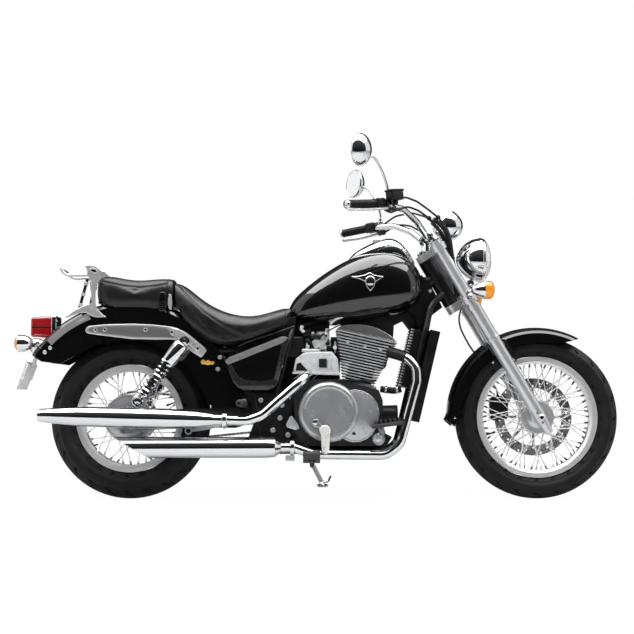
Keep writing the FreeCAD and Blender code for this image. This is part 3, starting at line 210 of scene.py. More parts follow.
lightCeiling()
darkWall("frontDarkWall", -studio["wallAt"])
darkWall("backDarkWall", studio["wallAt"])
print("studio ready")

# materials


def patternInto(material, texture, scale, outlet, detail=None):
    # a pattern on Object coordinates
    nodes, links = material.node_tree.nodes, material.node_tree.links
    pattern = nodes.new(texture)
    pattern.inputs["Scale"].default_value = scale
    if detail is not None:
        pattern.inputs["Detail"].default_value = detail
    place = nodes.new("ShaderNodeTexCoord")
    mapping = nodes.new("ShaderNodeMapping")
    links.new(place.outputs["Object"], mapping.inputs["Vector"])
    links.new(mapping.outputs["Vector"], pattern.inputs["Vector"])
    return nodes, links, pattern.outputs[outlet]


def noiseInto(material, socketName, low, high, scale):
    nodes, links, cloud = patternInto(material, "ShaderNodeTexNoise", scale, "Fac", 3.0)
    spread = nodes.new("ShaderNodeMapRange")
    spread.inputs["From Min"].default_value = 0.3
    spread.inputs["From Max"].default_value = 0.7
    spread.inputs["To Min"].default_value = low
    spread.inputs["To Max"].default_value = high
    links.new(cloud, spread.inputs["Value"])
    links.new(spread.outputs["Result"], nodes["Principled BSDF"].inputs[socketName])


def noiseColor(material, dark, light, scale):
    nodes, links, cloud = patternInto(material, "ShaderNodeTexNoise", scale, "Fac", 4.0)
    ramp = nodes.new("ShaderNodeValToRGB")
    low, high = ramp.color_ramp.elements
    low.position, low.color = 0.35, (*dark, 1)
    high.position, high.color = 0.65, (*light, 1)
    links.new(cloud, ramp.inputs["Fac"])
    links.new(ramp.outputs["Color"], nodes["Principled BSDF"].inputs["Base Color"])


def noiseBump(material, scale, depth, strength, cells=False):
    texture, outlet = ("ShaderNodeTexVoronoi", "Distance") if cells else ("ShaderNodeTexNoise", "Fac")
    nodes, links, height = patternInto(material, texture, scale, outlet)
    bump = nodes.new("ShaderNodeBump")
    bump.inputs["Strength"].default_value = strength
    bump.inputs["Distance"].default_value = depth
    links.new(height, bump.inputs["Height"])
    links.new(bump.outputs["Normal"], nodes["Principled BSDF"].inputs["Normal"])


def newMaterial(name, color, roughness, metallic=0.0, coat=0.0, coatRoughness=0.03, gloss=0.5,
                wear=None, tint=None, grain=None):
    # wear is (low, high, scale) of the roughness, tint (dark, light, scale), grain (scale, depth, strength)
    material = bpy.data.materials.new(name)
    material.use_nodes = True
    shader = material.node_tree.nodes["Principled BSDF"]
    shader.inputs["Base Color"].default_value = (*color, 1)
    shader.inputs["Roughness"].default_value = roughness
    shader.inputs["Metallic"].default_value = metallic
    shader.inputs["Specular IOR Level"].default_value = gloss
    shader.inputs["Coat Weight"].default_value = coat
    shader.inputs["Coat Roughness"].default_value = coatRoughness
    if wear:
        noiseInto(material, "Roughness", *wear)
    if tint:
        noiseColor(material, *tint)
    if grain:
        noiseBump(material, *grain)
    return material


glossBlack = newMaterial(
    "glossBlackPaint", (0.0018, 0.0018, 0.0020), 0.30, coat=1.0, coatRoughness=0.02, gloss=0.1)
glossBlack.node_tree.nodes["Principled BSDF"].inputs["Coat IOR"].default_value = 1.65
noiseInto(glossBlack, "Coat Roughness", 0.015, 0.045, 9)
satinBlack = newMaterial(
    "satinBlackPaint", (0.004, 0.004, 0.0044), 0.36, gloss=0.3, wear=(0.28, 0.44, 30),
    grain=(900, 0.0001, 0.3))
mouldedBlack = newMaterial(
    "mouldedBlackPlastic", (0.005, 0.005, 0.0054), 0.45, gloss=0.3, wear=(0.38, 0.52, 60),
    grain=(1400, 0.0001, 0.25))
chrome = newMaterial("mirrorChrome", (0.70, 0.71, 0.73), 0.05, metallic=1.0, wear=(0.03, 0.08, 14))
brushedChrome = newMaterial("brushedChrome", (0.60, 0.61, 0.63), 0.16, metallic=0.55, wear=(0.12, 0.22, 40))
forkAlloy = newMaterial("satinForkAlloy", (0.58, 0.585, 0.60), 0.25, metallic=0.62, wear=(0.22, 0.27, 40))
polishedAlloy = newMaterial("polishedAlloy", (0.42, 0.425, 0.44), 0.24, metallic=0.6, wear=(0.16, 0.30, 25))
castAlloy = newMaterial(
    "castAlloy", (0.30, 0.31, 0.32), 0.45, metallic=0.4, tint=((0.24, 0.25, 0.26), (0.34, 0.35, 0.36), 60),
    grain=(700, 0.0003, 0.4))
finAlloy = newMaterial(
    "finAlloy", (0.55, 0.56, 0.57), 0.36, metallic=0.5, tint=((0.46, 0.47, 0.48), (0.62, 0.63, 0.64), 40))
lightAlloy = newMaterial(
    "lightCastAlloy", (0.62, 0.63, 0.64), 0.38, metallic=0.3,
    tint=((0.54, 0.55, 0.56), (0.68, 0.69, 0.70), 50), grain=(800, 0.0002, 0.3))
domeAlloy = newMaterial("domeAlloy", (0.40, 0.40, 0.41), 0.22, metallic=0.8, wear=(0.18, 0.26, 30))
caseBlack = newMaterial(
    "caseBlack", (0.012, 0.012, 0.013), 0.40, gloss=0.4,
    tint=((0.008, 0.008, 0.009), (0.017, 0.017, 0.018), 40), grain=(700, 0.0003, 0.4))
creamAlloy = newMaterial("creamAlloy", (0.80, 0.79, 0.75), 0.30, metallic=0.3, wear=(0.24, 0.38, 40))
darkRubber = newMaterial("darkRubber", (0.035, 0.035, 0.036), 0.55, gloss=0.3, wear=(0.45, 0.65, 70))
blackLeather = newMaterial(
    "blackLeather", (0.0045, 0.0045, 0.005), 0.36, gloss=0.45, wear=(0.31, 0.44, 35),
    grain=(420, 0.0006, 0.35, True))
tyreRubber = newMaterial(
    "tyreRubber", (0.005, 0.005, 0.005), 0.62, gloss=0.25,
    tint=((0.0035, 0.0035, 0.0035), (0.007, 0.007, 0.007), 18), grain=(1200, 0.0002, 0.3))
gripRubber = newMaterial("gripRubber", (0.004, 0.004, 0.004), 0.56, gloss=0.25, wear=(0.46, 0.66, 80))
railGrey = newMaterial("railGrey", (0.135, 0.13, 0.135), 0.38, metallic=0.3, wear=(0.28, 0.40, 70))
rimChrome = newMaterial("rimChrome", (0.84, 0.84, 0.85), 0.20, metallic=0.62, wear=(0.16, 0.26, 20))
railBright = newMaterial("railBright", (0.62, 0.62, 0.63), 0.20, metallic=0.6, wear=(0.14, 0.28, 50))
strapGrey = newMaterial("strapGrey", (0.24, 0.235, 0.23), 0.36, metallic=0.3, wear=(0.3, 0.42, 60))
steel = newMaterial(
    "oiledSteel", (0.45, 0.44, 0.42), 0.35, metallic=1.0, tint=((0.25, 0.24, 0.22), (0.50, 0.49, 0.47), 50))
discSteel = newMaterial("groundDiscSteel", (0.50, 0.50, 0.49), 0.26, metallic=1.0, wear=(0.2, 0.34, 120))
# pale grey that paints a highlight band along the side covers' top edge
bandGrey = newMaterial("bandGrey", (0.16, 0.16, 0.165), 0.26, coat=0.5, wear=(0.22, 0.32, 30))
# dark grey, a little lighter than the black paint, that paints dim reflection bands along the side covers'
# front and lower edges
bandDark = newMaterial("bandDark", (0.013, 0.013, 0.0135), 0.26, coat=0.3, wear=(0.22, 0.32, 30))
brass = newMaterial("lockBrass", (0.88, 0.54, 0.10), 0.28, metallic=0.7, wear=(0.2, 0.36, 60))
clearGlass = newMaterial("clearGlass", (0.96, 0.98, 1.0), 0.02)
clearGlass.node_tree.nodes["Principled BSDF"].inputs["Transmission Weight"].default_value = 0.95
noiseInto(clearGlass, "Roughness", 0.0, 0.03, 20)
redLens = newMaterial("redLens", (0.30, 0.004, 0.008), 0.10, coat=1.0, wear=(0.08, 0.14, 30))
amberLens = newMaterial("amberLens", (0.80, 0.27, 0.004), 0.12, coat=0.6, wear=(0.08, 0.14, 30))
plateWhite = newMaterial("plateWhite", (0.78, 0.78, 0.77), 0.35, wear=(0.3, 0.42, 20))
dialPaper = newMaterial("dialFace", (0.75, 0.74, 0.70), 0.4, wear=(0.3, 0.5, 40))
mirrorSilver = newMaterial("mirrorSilver", (0.88, 0.89, 0.90), 0.01, metallic=1.0, wear=(0.005, 0.02, 10))
threadGrey = newMaterial("seatThread", (0.03, 0.03, 0.032), 0.6, wear=(0.5, 0.7, 200))

nodeFinish = {
    "frame": satinBlack, "swingarm": satinBlack, "drive_chain": steel, "crankcase": caseBlack,
    "engine_covers": polishedAlloy, "front_cylinder": finAlloy, "rear_cylinder": finAlloy,
    "head_covers": polishedAlloy, "intake": castAlloy, "radiator": satinBlack, "upper_exhaust": chrome,
    "lower_exhaust": chrome, "fuel_tank": glossBlack, "tank_console": chrome, "rider_seat": blackLeather,
    "pillion_seat": blackLeather, "side_covers": glossBlack, "battery_box": mouldedBlack,
    "rear_mudguard": glossBlack, "mudguard_rails": railGrey, "rear_shocks": chrome,
    "rear_rack": brushedChrome, "rear_lights": redLens, "number_plate": plateWhite, "footrests": gripRubber,
    "foot_levers": polishedAlloy, "fork_clamps": forkAlloy, "fork_legs": forkAlloy,
    "front_mudguard": glossBlack, "front_caliper": satinBlack, "handlebar": chrome, "grips": gripRubber,
    "hand_controls": polishedAlloy, "mirrors": chrome, "front_lights": chrome, "speedometer": chrome,
    "control_cables": gripRubber, "front_tyre": tyreRubber, "front_wheel": rimChrome, "front_disc": discSteel,
    "rear_tyre": tyreRubber, "rear_wheel": rimChrome, "rear_sprocket": steel, "rear_brake": polishedAlloy,
    "side_stand": chrome}
for nodeName, node in frame["nodes"].items():
    node.data.materials.clear()
    node.data.materials.append(nodeFinish[nodeName])
print("materials ready")

# tools shared by the pieces, in upright bike millimetres


def pickOnly(*picked):
    bpy.ops.object.select_all(action="DESELECT")
    for thing in picked:
        thing.select_set(True)
    bpy.context.view_layer.objects.active = picked[0]


def editOn(thing, mode="VERT", everything=True):
    pickOnly(thing)
    bpy.ops.object.mode_set(mode="EDIT")
    bpy.ops.mesh.select_mode(type=mode)
    bpy.ops.mesh.select_all(action="SELECT" if everything else "DESELECT")


def editOff():
    bpy.ops.object.mode_set(mode="OBJECT")


def pickFaces(thing, wanted):
    editOff()
    for face in thing.data.polygons:
        face.select = wanted(face)
    bpy.ops.object.mode_set(mode="EDIT")


def applyAll(thing):
    pickOnly(thing)
    for modifier in list(thing.modifiers):
        bpy.ops.object.modifier_apply(modifier=modifier.name)


def bevelEdges(thing, width, segments=2, angle=30):
    bevel = thing.modifiers.new("edgeBevel", "BEVEL")
    bevel.width = width * mm
    bevel.segments = segments
    bevel.limit_method = "ANGLE"
    bevel.angle_limit = math.radians(angle)
    applyAll(thing)


def joinAll(name, parts):
    pickOnly(*parts)
    if len(parts) > 1:
        bpy.ops.object.join()
    joined = bpy.context.view_layer.objects.active
    joined.name = name
    joined.data.name = name
    return joined


def finish(thing, material, body, slotName, *nodes, smooth=32):
    # one material, its place in the mesh, the body that carries it, a slot name that is not used, and the
    # nodes it stands for
    thing.data.materials.clear()
    thing.data.materials.append(material)
    pickOnly(thing)
    bpy.ops.object.transform_apply(location=True, rotation=True, scale=True)
    if smooth:
        bpy.ops.object.shade_smooth_by_angle(angle=math.radians(smooth))
    thing.data.transform(leanMatrix)
    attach(thing, body)
    if nodes:
        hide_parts(*nodes)
    return thing


def finishAll(name, parts, *look, smooth=32):
    return finish(joinAll(name, parts), *look, smooth=smooth)


def ringPoint(centre, radius, degrees, y):
    # a point on a circle round a crosswise axis, from straight ahead upwards
    a = math.radians(degrees)
    return (centre[0] + radius * math.cos(a), y, centre[-1] + radius * math.sin(a))


def drawLine(name, points, closed=False):
    bpy.ops.object.select_all(action="DESELECT")
    bpy.ops.mesh.primitive_plane_add(size=2 * mm, location=(0, 0, 0))
    line = bpy.context.object
    line.name = name
    editOn(line)
    bpy.ops.mesh.merge(type="CENTER")
    bpy.ops.transform.translate(value=Vector(points[0]) * mm)
    for last, here in zip(points, points[1:]):
        step = (Vector(here) - Vector(last)) * mm
        bpy.ops.mesh.extrude_region_move(TRANSFORM_OT_translate={"value": step})
    if closed:
        bpy.ops.mesh.select_all(action="SELECT")
        bpy.ops.mesh.edge_face_add()
    return line


def turnedPart(name, profile, centre, axis, side=(0, 0, 1), steps=48, closed=False):
    points = [(radius, 0, along) for along, radius in profile]
    if closed:
        points.append(points[0])
    part = drawLine(name, points)
    bpy.ops.mesh.select_all(action="SELECT")
    bpy.ops.mesh.spin(steps=steps, angle=2 * math.pi, center=(0, 0, 0), axis=(0, 0, 1))
    bpy.ops.mesh.select_all(action="SELECT")
    bpy.ops.mesh.remove_doubles(threshold=0.02 * mm)
    bpy.ops.mesh.normals_make_consistent(inside=False)
    editOff()
    up = Vector(axis).normalized()
    out = (Vector(side) - up * up.dot(Vector(side))).normalized()
    turn = Matrix((out, up.cross(out), up)).transposed().to_4x4()
    turn.translation = Vector(centre) * mm
    part.data.transform(turn)
    return part


def platePart(name, outline, y0, y1, bevel=0.0, segments=2):
    part = drawLine(name, [(x, y0, z) for x, z in outline], closed=True)
    bpy.ops.mesh.select_all(action="SELECT")
    bpy.ops.mesh.extrude_region_move(TRANSFORM_OT_translate={"value": (0, (y1 - y0) * mm, 0)})
    bpy.ops.mesh.select_all(action="SELECT")
    bpy.ops.mesh.normals_make_consistent(inside=False)
    editOff()
    if bevel:
        bevelEdges(part, bevel, segments)
    return part


def boxPart(name, centre, size, bevel=1.0, turn=None, segments=2):
    bpy.ops.object.select_all(action="DESELECT")
    bpy.ops.mesh.primitive_cube_add(size=1, location=(0, 0, 0))
    part = bpy.context.object
    part.name = name
    part.data.transform(Matrix.Diagonal((size[0] * mm, size[1] * mm, size[2] * mm, 1)))
    if bevel:
        bevelEdges(part, bevel, segments)
    if turn is not None:
        part.data.transform(turn)
    part.data.transform(Matrix.Translation(Vector(centre) * mm))
    return part


def rodPart(name, start, end, radius, sides=16, bevel=0.0, endRadius=None):
    start, end = Vector(start) * mm, Vector(end) * mm
    bpy.ops.object.select_all(action="DESELECT")
    bpy.ops.mesh.primitive_cone_add(vertices=sides, radius1=radius * mm,
                                    radius2=(radius if endRadius is None else endRadius) * mm,
                                    depth=(end - start).length, location=(0, 0, 0))
    part = bpy.context.object
    part.name = name
    if bevel:
        bevelEdges(part, bevel, 2, 50)
    turn = (end - start).to_track_quat("Z", "Y").to_matrix().to_4x4()
    turn.translation = (start + end) / 2
    part.data.transform(turn)
    return part


def tubePart(name, points, radius, smoothness=12, sides=12):
    curve = bpy.data.curves.new(name, "CURVE")
    curve.dimensions = "3D"
    curve.bevel_depth = radius * mm
    curve.bevel_resolution = max(1, sides // 4 - 1)
    curve.resolution_u = smoothness
    curve.use_fill_caps = True
    spline = curve.splines.new("BEZIER")
    spline.bezier_points.add(len(points) - 1)
    for knot, place in zip(spline.bezier_points, points):
        knot.co = Vector(place) * mm
        knot.handle_left_type = knot.handle_right_type = "AUTO"
    part = bpy.data.objects.new(name, curve)
    scene.collection.objects.link(part)
    pickOnly(part)
    bpy.ops.object.convert(target="MESH")
    return bpy.context.object


def copyPart(part, place):
    twin = part.copy()
    twin.data = part.data.copy()
    scene.collection.objects.link(twin)
    twin.data.transform(place)
    return twin


def mirrorInPlace(part):
    part.data.transform(Matrix.Diagonal((1, -1, 1, 1)))
    editOn(part)
    bpy.ops.mesh.normals_make_consistent(inside=False)
    editOff()
    return part


def hexBolt(name, place, direction, across, height, washer=1.35):
    way = Vector(direction).normalized()
    base = Vector(place)
    disc = rodPart(name, base - way * 1, base + way * 1.6, across * 0.5 * washer, 16, 0.4)
    head = rodPart(name, base + way * 1.4, base + way * height, across * 0.5, 6, 0.7)
    return joinAll(name, [disc, head])


def capBolt(name, place, direction, across, height):
    way = Vector(direction).normalized()
    base = Vector(place)
    head = rodPart(name, base - way * 1, base + way * height, across * 0.5, 18, 1.0)
    pickFaces(head, lambda face: face.normal.dot(way) > 0.9 and len(face.vertices) > 8)
    bpy.ops.mesh.inset(thickness=across * 0.18 * mm)
    bpy.ops.mesh.extrude_region_move(TRANSFORM_OT_translate={"value": -way * height * 0.5 * mm})
    editOff()
    return head


# wheels

frontAxle, rearAxle = (1640, 0, 328), (0, 0, 323)
tyreSizes = {
    "front": {
        "centre": frontAxle, "radius": 328, "width": 110, "rimRadius": 243, "rimWidth": 74, "crown": 52},
    "rear": {"centre": rearAxle, "radius": 323, "width": 150, "rimRadius": 216, "rimWidth": 96, "crown": 70}}
tread = {"segments": 216, "columns": 19, "repeat": 9, "depth": 4.5, "share": 0.82}


def tyreProfile(size):
    half = size["width"] / 2
    crown = size["crown"]
    bead = size["rimWidth"] / 2 - 4.3
    edge = half * tread["share"]
    shoulderAt = size["radius"] - (crown - math.sqrt(max(crown ** 2 - edge ** 2, 0)))
    lip = size["rimRadius"] + 2
    middle = (size["rimRadius"] - 14 + shoulderAt) / 2 + 16
    rows = []
    for step in range(tread["columns"] + 1):  # the crown, from one shoulder to the other
        y = edge * (2 * step / tread["columns"] - 1)
        rows.append((y, size["radius"] - crown + math.sqrt(crown ** 2 - y * y)))
    wall = []
    start, bulge, end = Vector((edge, shoulderAt)), Vector((half + 1.5, middle)), Vector((bead, lip))
    for step in range(1, 13):
        t = step / 12
        wall.append(start * (1 - t) ** 2 + (bulge * 2 - (start + end) / 2) * 2 * t * (1 - t) + end * t * t)
    wall = [(min(place.x, half - 0.5), place.y) for place in wall]
    ridge = wall[9]
    wall[9:10] = [(ridge[0] + 1.4, ridge[1] + 3), (ridge[0] + 1.6, ridge[1])]
    left = [(-y, radius) for y, radius in reversed(wall)]
    return left + rows + wall


def buildTyre(name, size, body, node):
    count, columns, repeat = tread["segments"], tread["columns"], tread["repeat"]
    tyre = turnedPart(name, tyreProfile(size), size["centre"], (0, 1, 0), steps=count)
    centre = Vector(size["centre"]) * mm
    edge = size["width"] / 2 * tread["share"] * mm

    def grooved(face):  # slots at the shoulders, slanted cuts, and a zigzag rib in the middle
        place = face.center - centre
        if abs(place.y) > edge:
            return False
        turn = int((math.atan2(place.x, place.z) / (2 * math.pi) + 1) * count + 0.001)
        column = int((place.y / edge + 1) / 2 * columns)
        fromEdge = min(column, columns - 1 - column)
        if fromEdge == 0:
            return turn % repeat in (0, 1)
        if fromEdge < 5:
            return (turn + fromEdge) % repeat == 1
        if fromEdge == 6:
            return (turn % (2 * repeat) < repeat) == (column < columns / 2)
        if fromEdge in (5, 7):
            return turn % repeat == 0
        return False

    editOn(tyre, "FACE", everything=False)
    pickFaces(tyre, grooved)
    bpy.ops.mesh.extrude_region_shrink_fatten(TRANSFORM_OT_shrink_fatten={"value": -tread["depth"] * mm})
    editOff()
    return finish(tyre, tyreRubber, body, "tyre_rubber", node, smooth=40)


buildTyre("frontTyre", tyreSizes["front"], "front_wheel_body", "front_tyre")
buildTyre("rearTyre", tyreSizes["rear"], "rear_wheel_body", "rear_tyre")
print("tyres ready")



def buildNipples(name, body, centre, count, flangeY, flangeRadius, rimRadius):
    # on the crossed spokes, from the flanges to the rim's well
    spokes = {"sweep": 38, "stagger": 4, "inFlange": 5, "inRim": 26, "tipY": 6}
    nipples = []
    for index in range(count):
        side = 1 if index % 2 == 0 else -1
        lean = 1 if (index // 2) % 2 == 0 else -1
        a = 2 * math.pi * index / count
        b = a + lean * math.radians(spokes["sweep"])
        near, far = flangeRadius - spokes["inFlange"], rimRadius - spokes["inRim"]
        root = Vector(
            (
                centre[0] + near * math.sin(b), side * (flangeY + lean * spokes["stagger"]),
                centre[2] + near * math.cos(b)))
        tip = Vector((centre[0] + far * math.sin(a), side * spokes["tipY"], centre[2] + far * math.cos(a)))
        way = (tip - root).normalized()
        nipples.append(rodPart(name, tip - way * 17, tip - way * 1, 3.6, 6, 0, 4.4))
    return finishAll(name, nipples, chrome, body, "wheel_chrome")


buildNipples("frontSpokeNipples", "front_wheel_body", frontAxle, 60, 34, 67, tyreSizes["front"]["rimRadius"])
buildNipples("rearSpokeNipples", "rear_wheel_body", rearAxle, 40, 40, 74, tyreSizes["rear"]["rimRadius"])

cover = turnedPart(
    "frontHubCover",
    [
        (2, 0), (2, 60), (0, 66), (5, 66), (8, 63), (8, 52), (6, 50), (6, 46), (9, 44), (13, 22), (15, 20),
        (15, 0)],
    (frontAxle[0], -38, frontAxle[2]), (0, -1, 0), steps=64)
finish(cover, forkAlloy, "front_wheel_body", "wheel_chrome")

discBolts = []
for index in range(8):
    discBolts.append(hexBolt("discBolt", ringPoint(frontAxle, 34, 90 - 45 * index, 67.5), (0, 1, 0), 9, 6))
finishAll("discBolts", discBolts, steel, "front_wheel_body", "disc_steel")

for name, body, centre, radius, degrees in (("frontValve", "front_wheel_body", frontAxle, 214, 200),
                                            ("rearValve", "rear_wheel_body", rearAxle, 188, 20)):
    a = math.radians(degrees)
    way = Vector((math.cos(a), 0, math.sin(a)))
    base = Vector(centre) + way * radius
    stem = rodPart(name, base, base - way * 30, 3, 12)
    cap = rodPart(name, base - way * 26, base - way * 38, 4.2, 12, 1)
    finish(joinAll(name, [stem, cap]), gripRubber, body, "tyre_rubber")

# the rear drum's fixed panel, on the right of the hub
panel = turnedPart(
    "rearDrumPanel",
    [
        (0, 10.3), (0, 84), (8, 95), (14, 96), (16, 94), (17, 88), (15, 86), (17, 80), (22, 58), (22, 40),
        (24, 38), (25, 22), (25, 10.3)],
    (0, -75, rearAxle[2]), (0, -1, 0), steps=64, closed=True)
lever = platePart(
    "drumLever",
    [
        (-30, 262), (-24, 254), (-14, 256), (40, 264), (92, 274), (96, 281), (90, 287), (30, 279), (-14, 278),
        (-27, 274)],
    -99, -92, 1.5)
peg = rodPart("drumPeg", (-22, -86, 267), (-22, -102, 267), 10, 20, 1.5)
nut = hexBolt("drumNut", (-22, -101, 267), (0, -1, 0), 12, 8)
rod = tubePart("brakeRod", [(88, -95.5, 280), (200, -95.5, 285), (360, -96, 290), (452, -96, 294)], 3, 6, 8)
spring = rodPart("rodNut", (62, -95.5, 279), (84, -95.5, 280), 6, 12, 1)
ribs = []
for step in range(6):
    a = math.radians(60 * step + 20)
    ribs.append(boxPart("drumRib", (62 * math.sin(a), -97, rearAxle[2] + 62 * math.cos(a)), (4, 8, 52), 1.0,
                        Matrix.Rotation(a, 4, "Y")))
finish(
    joinAll("rearDrumPanel", [panel, lever, peg, nut, rod, spring] + ribs), polishedAlloy, "chassis",
    "cast_alloy", "rear_brake")
print("wheels ready")

# front end

rake = math.radians(30.5)
steerDown = Vector((math.sin(rake), 0, -math.cos(rake)))
steerAhead = Vector((math.cos(rake), 0, math.sin(rake)))


def legPoint(z, y=0.0):
    # on the fork legs' slanted line, at a height
    return Vector((frontAxle[0] - (z - frontAxle[2]) * math.tan(rake), y, z))


legY = 105
forkTrim = []
for side in (-1, 1):
    y = side * legY
    top = legPoint(1030, y)
    forkTrim += [
        rodPart("forkCap", top - steerDown * -3, top - steerDown * 9, 20, 6, 1.5),
        rodPart("forkCap", top - steerDown * 7, top - steerDown * 13, 13, 20, 1.2),
    ]
    for z in (1006, 800):  # pinch bolts behind each leg
        back = legPoint(z, y) - steerAhead * 30
        forkTrim.append(capBolt("pinchBolt", back + Vector((0, -side * 16, 0)), (0, -side, 0), 11, 8))
    axle = (frontAxle[0], side * 131, frontAxle[2])
    forkTrim.append(
        turnedPart("axleCap", [(-2, 12), (4, 13), (9, 12), (12, 8), (12, 0)], axle, (0, side, 0), steps=28))
    for step in (-1, 1):
        spot = Vector((frontAxle[0], side * 128, frontAxle[2])) + steerDown * 22 * step - steerAhead * 6
        forkTrim.append(capBolt("axleClampBolt", spot, (0, side, 0), 9, 4))
finishAll("forkFasteners", forkTrim, chrome, "fork", "trim_chrome")

seals = []
for side in (-1, 1):
    y = side * legY
    seals += [
        rodPart("dustSeal", legPoint(646, y), legPoint(634, y), 28, 32, 1.5),
        rodPart("dustSeal", legPoint(650, y), legPoint(645, y), 27, 32, 0.8),
    ]
finishAll("forkDustSeals", seals, forkAlloy, "fork", "fork_alloy")

# bracket and bolts that carry the front mudguard
guardBolts = []
brackets = []
for side in (-1, 1):
    y = side * 75.5
    plate = platePart(
        "guardBracket",
        [(1480, 622), (1520, 560), (1546, 548), (1556, 560), (1540, 592), (1506, 640), (1488, 640)], y,
        y + side * 4, 1.2)
    brackets.append(plate)
    for x, z in ((1541, 560), (1500, 622)):
        guardBolts.append(hexBolt("guardBolt", (x, y + side * 4, z), (0, side, 0), 9, 5))
    guardBolts += [
        hexBolt("guardBolt", (1458, side * 74.5, 548), (0, side, 0), 8, 4),
        hexBolt("guardBolt", (1304, side * 74.5, 326), (0, side, 0), 7, 3),
    ]
finishAll("frontGuardBrackets", brackets, satinBlack, "fork", "fork_alloy")
finishAll("frontGuardBolts", guardBolts, chrome, "fork", "trim_chrome")

# the brake caliper behind the left leg
parts = []
for y0, y1 in ((38, 56), (72, 96)):
    half = platePart(
        "caliperHalf",
        [
            (1470, 316), (1478, 312), (1528, 318), (1536, 330), (1534, 398), (1522, 412), (1476, 412),
            (1468, 402)],
        y0, y1, 3)
    parts.append(half)
for z in (340, 384):
    parts.append(rodPart("pistonCan", (1503, 94, z), (1503, 104, z), 20, 28, 3))
for step in range(7):
    parts.append(boxPart("caliperFin", (1468, 68, 324 + step * 13), (12, 56, 5), 1))
parts += [
    platePart("caliperBridge", [(1462, 330), (1472, 326), (1472, 402), (1462, 398)], 50, 80, 2),
    platePart("caliperArm", [(1512, 372), (1534, 414), (1548, 478), (1570, 446), (1540, 372)], 78, 88, 2),
]
finishAll("frontCaliperBody", parts, satinBlack, "fork", "caliper_paint", "front_caliper")
caliperBolts = [hexBolt("caliperBolt", (x, 88.5, z), (0, 1, 0), 11, 8) for x, z in ((1530, 398), (1550, 452))]
caliperBolts.append(rodPart("bleedScrew", (1484, 84, 410), (1484, 84, 426), 3.5, 8, 0.6))
finishAll("caliperBolts", caliperBolts, steel, "fork", "disc_steel")
brakeLine = tubePart(
    "brakeLine",
    [
        (1500, 88, 412), (1494, 84, 440), (1466, 78, 480), (1424, 72, 560), (1372, 72, 640), (1340, 62, 720),
        (1346, 44, 776)],
    3.6, 10, 8)
banjo = rodPart("brakeLine", (1500, 82, 412), (1500, 96, 412), 7, 12, 1)
finish(joinAll("brakeLine", [brakeLine, banjo]), gripRubber, "fork", "cable_rubber")
print("fork ready")

# headlight and front indicators

lamp = {"x": 1416, "z": 968, "radius": 89}
lampAt = (lamp["x"], 0, lamp["z"])
r = lamp["radius"]
shell = turnedPart(
    "headlightShell",
    [
        (-2, r - 1), (-14, r - 2), (-32, r - 7), (-54, r - 20), (-74, r - 40), (-88, r - 64), (-93, r - 78),
        (-94, 0)],
    lampAt, (1, 0, 0), steps=72)
rimRing = turnedPart(
    "headlightRim",
    [
        (-3, r - 7), (-3, r + 0.5), (2, r + 1.5), (7, r + 1.5), (9, r - 0.5), (14, r - 1), (19, r - 3),
        (22, r - 7), (20, r - 9), (10, r - 9)],
    lampAt, (1, 0, 0), steps=72, closed=True)
visor = turnedPart(
    "headlightVisor",
    [
        (-36, r + 2), (-20, r + 10), (6, r + 13), (24, r + 12), (24, r + 9), (6, r + 10), (-20, r + 7),
        (-36, r - 2)],
    lampAt, (1, 0, 0), steps=72, closed=True)
pickFaces(visor, lambda face: face.center.z < (lamp["z"] + r * 0.72) * mm)
bpy.ops.mesh.delete(type="FACE")
bpy.ops.mesh.select_all(action="SELECT")
bpy.ops.mesh.region_to_loop()
bpy.ops.mesh.edge_face_add()
editOff()
bracket = tubePart(
    "headlightBracket", [(1388, 0, 820), (1388, 0, 836), (1380, 0, 860), (1376, 0, 884)], 11, 8, 20)
hinge = rodPart("headlightHinge", (1379, -17, 872), (1379, 17, 872), 14, 24, 2)
ears = joinAll("headlightMount", [bracket, hinge])
finish(
    joinAll("headlightShell", [shell, visor, ears]), chrome, "fork", "trim_chrome", "front_lights", smooth=40)
finish(rimRing, chrome, "fork", "trim_chrome", smooth=40)
bowl = turnedPart(
    "headlightReflector",
    [(16, r - 9), (0, r - 12), (-20, r - 22), (-40, r - 38), (-52, r - 56), (-58, 14), (-58, 0)], lampAt,
    (1, 0, 0), steps=72)
finish(bowl, mirrorSilver, "fork", "trim_chrome", smooth=40)
bulb = turnedPart(
    "headlightBulb", [(-56, 13), (-50, 13), (-48, 8), (-30, 8), (-14, 8), (-8, 6), (-5, 0)], lampAt,
    (1, 0, 0), steps=24)
shield = turnedPart(
    "bulbShield", [(-22, 10), (-22, 13), (-2, 13), (1, 8), (2, 0)], lampAt, (1, 0, 0), steps=24)
finish(joinAll("headlightBulb", [bulb, shield]), steel, "fork", "trim_chrome")
lens = turnedPart(
    "headlightGlass",
    [
        (12, r - 8.4), (20, r - 8.4), (24, r - 10), (32, r - 19), (39, r - 34), (44, r - 52), (46.5, r - 72),
        (47, 0)],
    lampAt, (1, 0, 0), steps=96)
thicken = lens.modifiers.new("glassWall", "SOLIDIFY")
thicken.thickness = 3 * mm
thicken.offset = -1
applyAll(lens)
flutes = []
for step in range(-9, 10):  # upright flutes moulded in the glass
    if step % 3 == 0:
        continue
    reach = math.sqrt(max(0, 74 ** 2 - (step * 7) ** 2))
    flutes.append(rodPart("lensFlute", (lamp["x"] + 22, step * 7, lamp["z"] - reach * 0.9),
                          (lamp["x"] + 22, step * 7, lamp["z"] + reach * 0.9), 1.6, 6))
finish(joinAll("headlightGlass", [lens] + flutes), clearGlass, "fork", "lamp_plastic", smooth=40)

